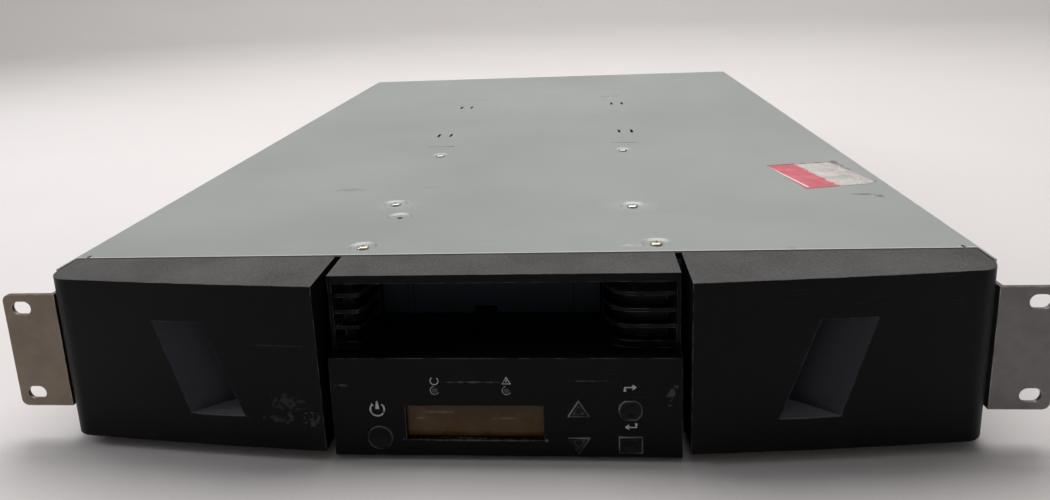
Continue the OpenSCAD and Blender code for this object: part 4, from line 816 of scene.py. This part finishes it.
bm = bmesh.new()
stroke(bm, arc(-57.8, 25.3, 3.2, 130, 410), 0.75)
stroke(bm, [(-57.8, 25.4), (-57.8, 29.3)], 0.75)
for x in (-31.0, 1.4):
    stroke(bm, arc(x, 34.6, 1.95, 100, 330), 0.2)
stroke(bm, arc(-31.0, 39.2, 1.8, 130, 410, 20), 0.35)
stroke(bm, [(-0.4, 37.8), (3.2, 37.8), (1.4, 40.9)], 0.35, closed=True)
stroke(bm, [(1.4, 38.6), (1.4, 39.8)], 0.3)
stroke(bm, [(53.6, 34.3), (53.6, 36.2), (58.0, 36.2)], 0.5)
stroke(bm, [(56.9, 37.2), (58.3, 36.2), (56.9, 35.2)], 0.5)
stroke(bm, [(58.4, 19.1), (58.4, 17.1), (54.2, 17.1)], 0.5)
stroke(bm, [(55.3, 18.1), (53.9, 17.1), (55.3, 16.1)], 0.5)
bmesh.ops.recalc_face_normals(bm, faces=bm.faces)
signs = from_bmesh("printed_signs", bm)
grey_ink, tree, shader, place, skin = material("grey_ink", 0.3, 2.5)
colour = mixed(tree, ramp(tree, skin["Cloud"], 0.34, 0.5), (96, 96, 96), (186, 186, 184))
dressed(tree, shader, colour, (skin["Grain"], 0.45, 0.6))
finish(signs, grey_ink)
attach(signs, "chassis")

# ------------------------------------------------------------
# Display: a liquid crystal module on the front board behind a smoked amber pane, unlit, with a
# dark mask round its field and dust smeared over it. Two clear rods bring the lights forward.
# ------------------------------------------------------------
field = (("X", -0.0450, 0.0176), ("Z", 0.0105, 0.0270))
mask_fade = 0.0003
amber_pane, tree, shader, place, skin = material("amber_pane", 0.6, 14.0)
apart = axes(tree, place)
outside = None
for axis, low, high in field:
    off = calc(tree, "ABSOLUTE", calc(tree, "SUBTRACT", apart[axis], (low + high) / 2))
    off = ramp(tree, off, (high - low) / 2 - mask_fade, (high - low) / 2)
    outside = off if outside is None else calc(tree, "MAXIMUM", outside, off)
# Painted shade: the pane is darker towards the top of its recessed window
lower = ramp(tree, apart["Z"], 0.026, 0.012)
colour = mixed(tree, lower, (56, 38, 12), (80, 55, 16))
colour = overlaid(tree, ramp(tree, skin["Cloud"], 0.5, 0.7), 0.35, colour, (96, 84, 64))
for centre, reach in (((-0.0300, -0.3440, 0.0225), (0.008, 0.004, 0.0007)),
                      ((-0.0390, -0.3440, 0.0195), (0.004, 0.004, 0.0006)),
                      ((0.0010, -0.3440, 0.0195), (0.008, 0.004, 0.0006))):
    mark = use(tree, mark_at, {"Centre": centre, "Reach": reach}, place)
    colour = overlaid(tree, mark["Mask"], 0.6, colour, (122, 104, 74))
colour = mixed(tree, outside, colour, (18, 15, 11))
dressed(tree, shader, colour, (skin["Cloud"], 0.14, 0.4), (skin["Grain"], 0.03, 0.0001),
        {"Coat Weight": 0.15, "Specular IOR Level": 0.2})
finish(softened("display_window", 0.25), amber_pane)

tin_plate, tree, shader, place, skin = material("tin_plate", 0.5, 8.0)
colour = mixed(tree, skin["Cloud"], (150, 152, 152), (178, 180, 180))
colour = rubbed(tree, place, colour, (210, 210, 208), 0.4, 0.5)
dressed(tree, shader, colour, (skin["Grain"], 0.25, 0.4), (skin["Grain"], 0.06, 0.0002),
        {"Metallic": 0.9})
finish(softened("display_module", 0.2), tin_plate)

clear_lens, tree, shader, place, skin = material("clear_lens", 0.2, 2.0)
colour = mixed(tree, skin["Cloud"], (14, 15, 15), (30, 32, 31))
dressed(tree, shader, colour, (skin["Grain"], 0.12, 0.25))
finish(softened("light_pipes", 0.3), clear_lens)

# ------------------------------------------------------------
# Boards: green glass-epoxy laminate with tracks under the resist, black packages and small parts
# soldered in rows. The front one carries the keys' switches, the rear one the ports.
# ------------------------------------------------------------
board_green, tree, shader, place, skin = material("board_green", 0.5, 6.0)
tracks = add(tree, "ShaderNodeTexBrick",
             {"Color1": (0, 0, 0, 1), "Color2": (1, 1, 1, 1), "Mortar": (0.5, 0.5, 0.5, 1),
              "Scale": 260.0, "Mortar Size": 0.03, "Brick Width": 2.6},
             {"Vector": place}, offset=0.37, squash=1.0)
colour = mixed(tree, tracks.outputs["Color"], (16, 60, 38), (24, 78, 50))
colour = mixed(tree, ramp(tree, tracks.outputs["Fac"], 0.4, 0.6), colour, (42, 104, 66))
colour = overlaid(tree, skin["Cloud"], 0.3, colour, (20, 54, 38))
colour = rubbed(tree, place, colour, (150, 148, 108), 0.3, 0.6)
dressed(tree, shader, colour, (skin["Grain"], 0.28, 0.42), (tracks.outputs["Fac"], 0.12, 0.0002))
for node in ("front_board", "controller_board"):
    finish(softened(node, 0.12), board_green)

chip_black, tree, shader, place, skin = material("chip_black", 0.25, 3.0)
colour = mixed(tree, skin["Cloud"], (30, 30, 32), (46, 46, 48))
dressed(tree, shader, colour, (skin["Grain"], 0.45, 0.6), (skin["Grain"], 0.15, 0.0001))
board_low, board_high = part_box("controller_board")
board_top, left_empty = 0.0136, 0.25
lay = random.Random(23)
spots = [(10 + 3.1 * i, 56 + 3.3 * k) for i in range(4) for k in range(2)]
spots += [(88 + 3.1 * i, 8 + 3.6 * k) for i in range(7) for k in range(12)]
spots += [(54 + 3.1 * i, 52 + 3.4 * k) for i in range(3) for k in range(3)]
places = [(Vector((board_low.x + x / 1000, board_low.y + y / 1000, board_top)), (0, 0, 1),
           math.pi / 2 * lay.randint(0, 1)) for x, y in spots if lay.random() < 1 - left_empty]
small_part = bricks("small_part", [((-0.5, -0.5, 0), (0.5, 0.5, 0.75)),
                                   ((-0.9, -0.5, 0), (-0.5, 0.5, 0.8)),
                                   ((0.5, -0.5, 0), (0.9, 0.5, 0.8))])
chips = finish(set_out("board_parts", places, small_part, chip_black, 0.03, 5), chip_black)
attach(chips, "chassis")

# ------------------------------------------------------------
# Magazines: grey polycarbonate trays on acetal rails, with lighter carriers hung from a belt
# loop. Gears and pulleys are white acetal on steel axles, and the motors have brass pinions.
# ------------------------------------------------------------


def worn(name, dark, light, bare, grain, cloud, rough, metallic=0.0, depth=0.1, wear=0.4):
    """A finish with two shades, its scratches and rubbed edges laid bare in a third."""
    made, tree, shader, place, skin = material(name, grain, cloud)
    colour = mixed(tree, ramp(tree, skin["Cloud"], 0.3, 0.7), dark, light)
    colour = scratched(tree, place, colour, bare, 0.3)
    colour = rubbed(tree, place, colour, bare, 0.5, wear)
    dressed(tree, shader, colour, (skin["Grain"], *rough), (skin["Grain"], depth, 0.0003),
            {"Metallic": metallic})
    return made


tray_grey = worn("tray_grey", (66, 68, 71), (78, 80, 83), (120, 122, 124),
                 0.4, 20, (0.45, 0.6))
carrier_grey = worn("carrier_grey", (128, 130, 132), (146, 148, 150), (176, 178, 180),
                    0.4, 12, (0.45, 0.6))
white_acetal = worn("white_acetal", (218, 218, 210), (232, 232, 226), (196, 196, 190),
                    0.3, 6, (0.35, 0.5))
turned_brass = worn("turned_brass", (170, 132, 66), (196, 158, 88), (222, 196, 136),
                    0.25, 3, (0.22, 0.36), 0.95)
motor_can = worn("motor_can", (120, 120, 122), (156, 156, 156), (196, 196, 194),
                 0.4, 8, (0.3, 0.45), 0.9)
belt_black = worn("belt_black", (18, 18, 18), (30, 30, 30), (60, 60, 60),
                  0.3, 5, (0.6, 0.8), depth=0.15)
for side in ("left", "right"):
    finish(softened(side + "_magazine_tray", 0.3), tray_grey)
    finish(softened(side + "_carriers", 0.2), carrier_grey)
    for end in ("front", "rear"):
        finish(softened(side + "_" + end + "_pulley", 0.12), white_acetal)
    finish(softened(side + "_drive_pinion", 0.08), turned_brass)
    finish(softened(side + "_magazine_motor", 0.25), motor_can)

# ------------------------------------------------------------
# Cartridges: half-inch tape in a two-part shell of dark blue-grey polycarbonate, with a grooved
# grip at each side, a recessed label place left blank, a leader door and a reel hub below.
# ------------------------------------------------------------
shell_x, shell_y, shell_z = 102.0, 105.4, 21.5
half_x, half_y, seam = shell_x / 2, shell_y / 2, shell_z / 2


def shell_ring(bm, z, inset, corner=2.6, steps=4):
    """A rounded rectangle of vertices at height z, inset from the shell's outline, in mm."""
    ring = []
    radius = corner - inset * 0.5
    to_x, to_y = half_x - inset - radius, half_y - inset - radius
    for quarter, (right, rear) in enumerate(((1, 1), (-1, 1), (-1, -1), (1, -1))):
        for i in range(steps + 1):
            angle = math.pi / 2 * (quarter + i / steps)
            ring.append(bm.verts.new(((right * to_x + radius * math.cos(angle)) / 1000,
                                      (rear * to_y + radius * math.sin(angle)) / 1000, z / 1000)))
    return ring


bm = bmesh.new()
rings = [shell_ring(bm, z, inset) for z, inset in (
    (0, 0.9), (0.25, 0.3), (0.9, 0), (seam - 0.25, 0), (seam - 0.25, 0.35), (seam + 0.25, 0.35),
    (seam + 0.25, 0), (shell_z - 0.9, 0), (shell_z - 0.25, 0.3), (shell_z, 0.9))]
banded(bm, rings)
bm.faces.new(rings[0][::-1])
bm.faces.new(rings[-1])
# Nine grip grooves at each side, then the label place and the write-protect window in one end,
# the shallow field on top and the leader door
groove_pitch, groove_wide, groove_deep, rim = 2.4, 1.2, 0.5, 2.5
grooves = [((s * half_x - groove_deep, -18 + groove_pitch * i, rim),
            (s * half_x + groove_deep, -18 + groove_wide + groove_pitch * i, shell_z - rim))
           for s in (-1, 1) for i in range(9)]
grooves += [((-half_x + 9, -half_y - 0.5, 3.2), (half_x - 27, -half_y + 0.45, shell_z - 3.2)),
            ((half_x - 21, -half_y - 0.5, 3.2), (half_x - 14, -half_y + 0.9, shell_z - 11)),
            ((-half_x + 14, -half_y + 12, shell_z - 0.35), (half_x - 14, half_y - 30, shell_z + 1)),
            ((-half_x - 1, half_y - 20, 3), (-half_x + 0.5, half_y - 6, shell_z - 3))]
shell = cut(from_bmesh("cartridge_shell", bm), bricks("grooves", grooves))
hub = turned("hub_hole", [(0, -1), (21, -1), (21, 0.8), (13, 0.8), (13, 0.3), (4, 0.3), (4, 1.4),
                          (0, 1.4)], 40)
shell = cut(shell, hub)
cartridge_blue = worn("cartridge_blue", (36, 42, 54), (46, 53, 66), (90, 96, 106),
                      0.35, 10, (0.45, 0.6), depth=0.2)
for side in ("left", "right"):
    pattern = linked("cartridge_pattern", shell.data.copy())
    places = [(Vector(((low.x + high.x) / 2, (low.y + high.y) / 2, low.z)), (0, 0, 1), 0.0)
              for low, high in solids_of(side + "_cartridges")]
    cartridges = set_out(side + "_cartridges_shell", places, pattern, cartridge_blue)
    finish(cartridges, cartridge_blue)
    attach(cartridges, side + "_magazine")
    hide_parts(side + "_cartridges")
bpy.data.objects.remove(shell)

# ------------------------------------------------------------
# Belts: neoprene with a glass cord, 5 mm wide, moulded with fine teeth on the inside that run
# in the notches of the pulleys. Each carrier's tab is riveted over its belt.
# ------------------------------------------------------------
tooth_pitch, tooth_deep, tooth_long, tooth_root, tooth_flare = 5.5, 0.26, 2.2, 0.1, 0.3
belt_thick, side_gap, turn_teeth = 0.0015, 0.05, 12
for side in ("left", "right"):
    low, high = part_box(side + "_belt")
    radius = (high.z - low.z) / 2
    centre_z, front_y, rear_y = (low.z + high.z) / 2, low.y + radius, high.y - radius
    inner, middle_x = radius - belt_thick, (low.x + high.x) / 2
    places, run = [], rear_y - front_y
    for sign, facing in ((1, (0, 0, -1)), (-1, (0, 0, 1))):
        for i in range(int(run * 1000 / tooth_pitch)):
            y = front_y + (i + 0.5) * tooth_pitch / 1000
            places.append((Vector((middle_x, y, centre_z + sign * inner)), facing, 0.0))
    for hub_y, start in ((rear_y, -90), (front_y, 90)):
        for i in range(turn_teeth):
            angle = math.radians(start + 180 / turn_teeth * (i + 0.5))
            out = Vector((0, math.cos(angle), math.sin(angle)))
            places.append((Vector((middle_x, hub_y, centre_z)) + out * inner, -out, 0.0))
    half = (high.x - low.x) / 2 * 1000 - side_gap
    tooth = bricks("belt_tooth", [((-half, -tooth_long / 2, -tooth_root),
                                   (half, tooth_long / 2, tooth_deep))], -tooth_flare)
    teeth = set_out(side + "_belt_teeth", places, tooth, belt_black)
    finish(teeth, belt_black)
    finish(softened(side + "_belt", 0.15), belt_black)
    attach(teeth, side + "_magazine")

# ------------------------------------------------------------
# Picker: an anodised turntable and deck on the floor bracket, turned by a geared motor. A gripper
# slides on two rods, drawn by a rolled steel screw that a small motor spins.
# ------------------------------------------------------------
anodised = worn("anodised", (150, 152, 154), (166, 168, 170), (204, 204, 204),
                0.3, 20, (0.35, 0.5), 0.85)
for node in ("picker_deck", "turntable", "gripper_carriage"):
    finish(softened(node, 0.25), anodised)
for node in ("picker_motor", "gripper_motor"):
    finish(softened(node, 0.25), motor_can)
finish(softened("picker_pinion", 0.08), turned_brass)

low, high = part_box("gripper_screw")
screw_radius, thread_deep, thread_lead, plain_end = (high.z - low.z) / 2, 0.00055, 0.01, 0.006
starts, groove_share, per_turn, around = 2, 0.3, 24, 20
centre, length = (low + high) / 2, high.y - low.y
steps = round(length / thread_lead * per_turn)
bm = bmesh.new()
rings = []
for i in range(steps + 1):
    along = length * i / steps
    ring = []
    for k in range(around):
        angle = 2 * math.pi * k / around
        phase = (along / thread_lead * starts + k / around) % 1.0
        groove = 0.0
        if plain_end < along < length - plain_end:
            groove = max(0.0, 1.0 - abs(phase - 0.5) / groove_share)
        radius = screw_radius - thread_deep * min(1.0, groove * 1.6)
        ring.append(bm.verts.new((centre.x + radius * math.cos(angle), low.y + along,
                                  centre.z + radius * math.sin(angle))))
    rings.append(ring)
banded(bm, rings)
bm.faces.new(rings[0])
bm.faces.new(rings[-1])
bmesh.ops.recalc_face_normals(bm, faces=bm.faces)
rolled = finish(from_bmesh("gripper_screw_rolled", bm), bright_zinc)
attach(rolled, "gripper_screw")
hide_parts("gripper_screw")

# ------------------------------------------------------------
# Drive: a full-height tape drive in a dark folded case, with a grey eject key, screwed to the
# sled. The sled slides out at the back when its knurled captive screws are undone.
# ------------------------------------------------------------
drive_case = worn("drive_case", (74, 76, 78), (92, 94, 96), (140, 142, 144),
                  0.5, 20, (0.4, 0.55), 0.6)
eject_grey = worn("eject_grey", (92, 104, 112), (104, 116, 124), (140, 150, 156),
                  0.3, 4, (0.4, 0.5))
finish(softened("tape_drive", 0.4, grilled=True), drive_case)
finish(softened("drive_eject_button", 0.4), eject_grey)

knob_r, knob_long, knurls, cap_long = 4.45, 8.4, 30, 1.4
neck_r, neck_long, root_r, cap_r = knob_r - 1.2, 0.8, knob_r - 0.15, knob_r * 0.8
knob = turned("thumb_screw", [(0, -knob_long), (neck_r, -knob_long),
                              (neck_r, -knob_long + neck_long), (root_r, -knob_long + neck_long),
                              (root_r, -cap_long - 0.4),
                              (knob_r - 0.6, -cap_long), (cap_r, -cap_long), (cap_r - 0.3, 0),
                              (0, 0)], 40)
ridges = bricks("ridges", [((knob_r - 0.35, -0.22, -knob_long + 1.2),
                            (knob_r, 0.22, -cap_long - 0.6))])
turns = [(Vector((0, 0, 0)), (0, 0, 1), 2 * math.pi * i / knurls) for i in range(knurls)]
ridges = set_out("ridges", turns, ridges, bright_zinc)
driver_slot = bricks("driver_slot", [((-5, -0.45, -0.9), (5, 0.45, 0.3))])
knob = joined("thumb_screw", [cut(knob, driver_slot), ridges])
places = [(Vector(((low.x + high.x) / 2, high.y, (low.z + high.z) / 2)), (0, 1, 0), 0.0)
          for low, high in solids_of("sled_thumbscrews")]
knobs = set_out("sled_thumbscrews_knurled", places, knob, bright_zinc, 0.7, 3)
finish(knobs, bright_zinc)
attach(knobs, "chassis")
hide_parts("sled_thumbscrews")

# ------------------------------------------------------------
# Ports: nickel-plated shells soldered to the rear board, and the drive's own connector in the
# sled. Each holds a black insulator with gold contacts.
# ------------------------------------------------------------
nickel_shell = worn("nickel_shell", (168, 166, 160), (190, 188, 182), (214, 212, 208),
                    0.3, 4, (0.2, 0.35), 0.95)
gold_flash = worn("gold_flash", (190, 152, 78), (212, 176, 104), (226, 200, 140),
                  0.2, 2, (0.2, 0.3), 0.95)
finish(softened("rear_connectors", 0.2), nickel_shell)
contact_pitch, fewest, block_thick, room_x, room_z = 3.2, 4, 3, 2.2, 3
wide_port, wide_sunk, small_sunk = 40, 6.4, 12.6
contacts, insulators = [], []
for low, high in solids_of("rear_connectors"):
    wide, tall = (high.x - low.x) * 1000, (high.z - low.z) * 1000
    count = max(fewest, int(wide / contact_pitch))
    middle, base = (low + high) / 2, high.y * 1000
    back = base - (small_sunk if wide < wide_port else wide_sunk)
    left, right = middle.x * 1000 - wide / 2 + room_x, middle.x * 1000 + wide / 2 - room_x
    insulators.append(((left, back, middle.z * 1000 - tall / 2 + room_z),
                       (right, back + block_thick, middle.z * 1000 + tall / 2 - room_z)))
    for i in range(count):
        x = left + (right - left) * (i + 0.5) / count
        contacts.append((Vector((x, back + block_thick, middle.z * 1000)) / 1000, (0, 1, 0), 0.0))
pin = bricks("contact", [((-0.3, -0.3, -0.4), (0.3, 0.3, 2.4))])
pins = finish(set_out("port_contacts", contacts, pin, gold_flash), gold_flash)
blocks = finish(bricks("port_insulators", insulators), chip_black)
for piece in (pins, blocks):
    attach(piece, "chassis")

# ------------------------------------------------------------
# Stage: a pale round floor that curves up into a wall, a wide lamp above, one that lights the far
# side, a weak one at the left, and the camera a little above the top of the case.
# ------------------------------------------------------------
flat, bend, rise, around, hub = 2.7, 0.9, 2.4, 96, 0.4
profile = [(hub, 0.0), (flat, 0.0)]
profile += [(flat + bend * math.sin(math.radians(a)), bend - bend * math.cos(math.radians(a)))
            for a in range(10, 91, 10)]
profile += [(flat + bend, rise)]
turns = [2 * math.pi * k / around for k in range(around)]
corners = [(r * math.cos(t), r * math.sin(t), z) for r, z in profile for t in turns]
faces = [tuple(range(around))]
for i in range(len(profile) - 1):
    for k in range(around):
        here, after = i * around + k, i * around + (k + 1) % around
        faces.append((here, here + around, after + around, after))
table_mesh = bpy.data.meshes.new("table")
table_mesh.from_pydata(corners, [], faces)
table = linked("table", table_mesh)
for polygon in table_mesh.polygons:
    polygon.use_smooth = True
pale_table, tree, shader, place, skin = material("pale_table", 2.0, 400.0)
colour = mixed(tree, skin["Cloud"], (218, 213, 213), (226, 222, 222))
colour = mixed(tree, ramp(tree, axes(tree, place)["Z"], 0.0, 0.8), colour, (204, 205, 199))
dressed(tree, shader, colour, constants={"Roughness": 0.6})
table.data.materials.append(pale_table)


def lamp(name, place, target, size, size_y, power, colour):
    """A rectangular area lamp aimed at a point."""
    light = bpy.data.lights.new(name, "AREA")
    light.shape = "RECTANGLE"
    light.size, light.size_y, light.energy, light.color = size, size_y, power, colour
    made = linked(name, light)
    made.location = place
    made.rotation_euler = (Vector(target) - Vector(place)).to_track_quat("-Z", "Y").to_euler()


lamp("ceiling_lamp", (0.0, 0.45, 1.9), (0, 0.1, 0), 2.2, 1.2, 38.0, (1.0, 0.985, 0.97))
lamp("far_lamp", (0.0, 2.3, 2.3), (0, 2.9, 0.2), 3.6, 1.4, 28.0, (1.0, 0.99, 0.97))
lamp("window_lamp", (-1.7, -0.2, 1.1), (0, 0, 0.05), 1.0, 0.9, 10.0, (0.96, 0.98, 1.0))
room = bpy.data.worlds.new("room")
bpy.context.scene.world = room
room.use_nodes = True
glow = room.node_tree.nodes["Background"].inputs
glow["Color"].default_value = linear(205, 204, 206)
glow["Strength"].default_value = 0.28

view = bpy.data.cameras.new("view")
view.sensor_width = 36.0
view.lens, view.shift_x, view.shift_y = 27.81, 0.0171, -0.0808
view.clip_start = 0.01
camera = linked("view", view)
tilt = Vector((0.23513, 0.08472, -0.03193))
level = Matrix(((1, 0, 0), (0, 0, -1), (0, 1, 0)))
right, down, ahead = Matrix.Rotation(tilt.length, 3, tilt.normalized()) @ level
stand = Vector((0.035398, -0.672897, 0.215500))
camera.matrix_world = Matrix([(right[i], -down[i], -ahead[i], stand[i]) for i in range(3)]
                             + [(0, 0, 0, 1)])
bpy.context.scene.camera = camera
bpy.context.scene.view_settings.view_transform = "Standard"
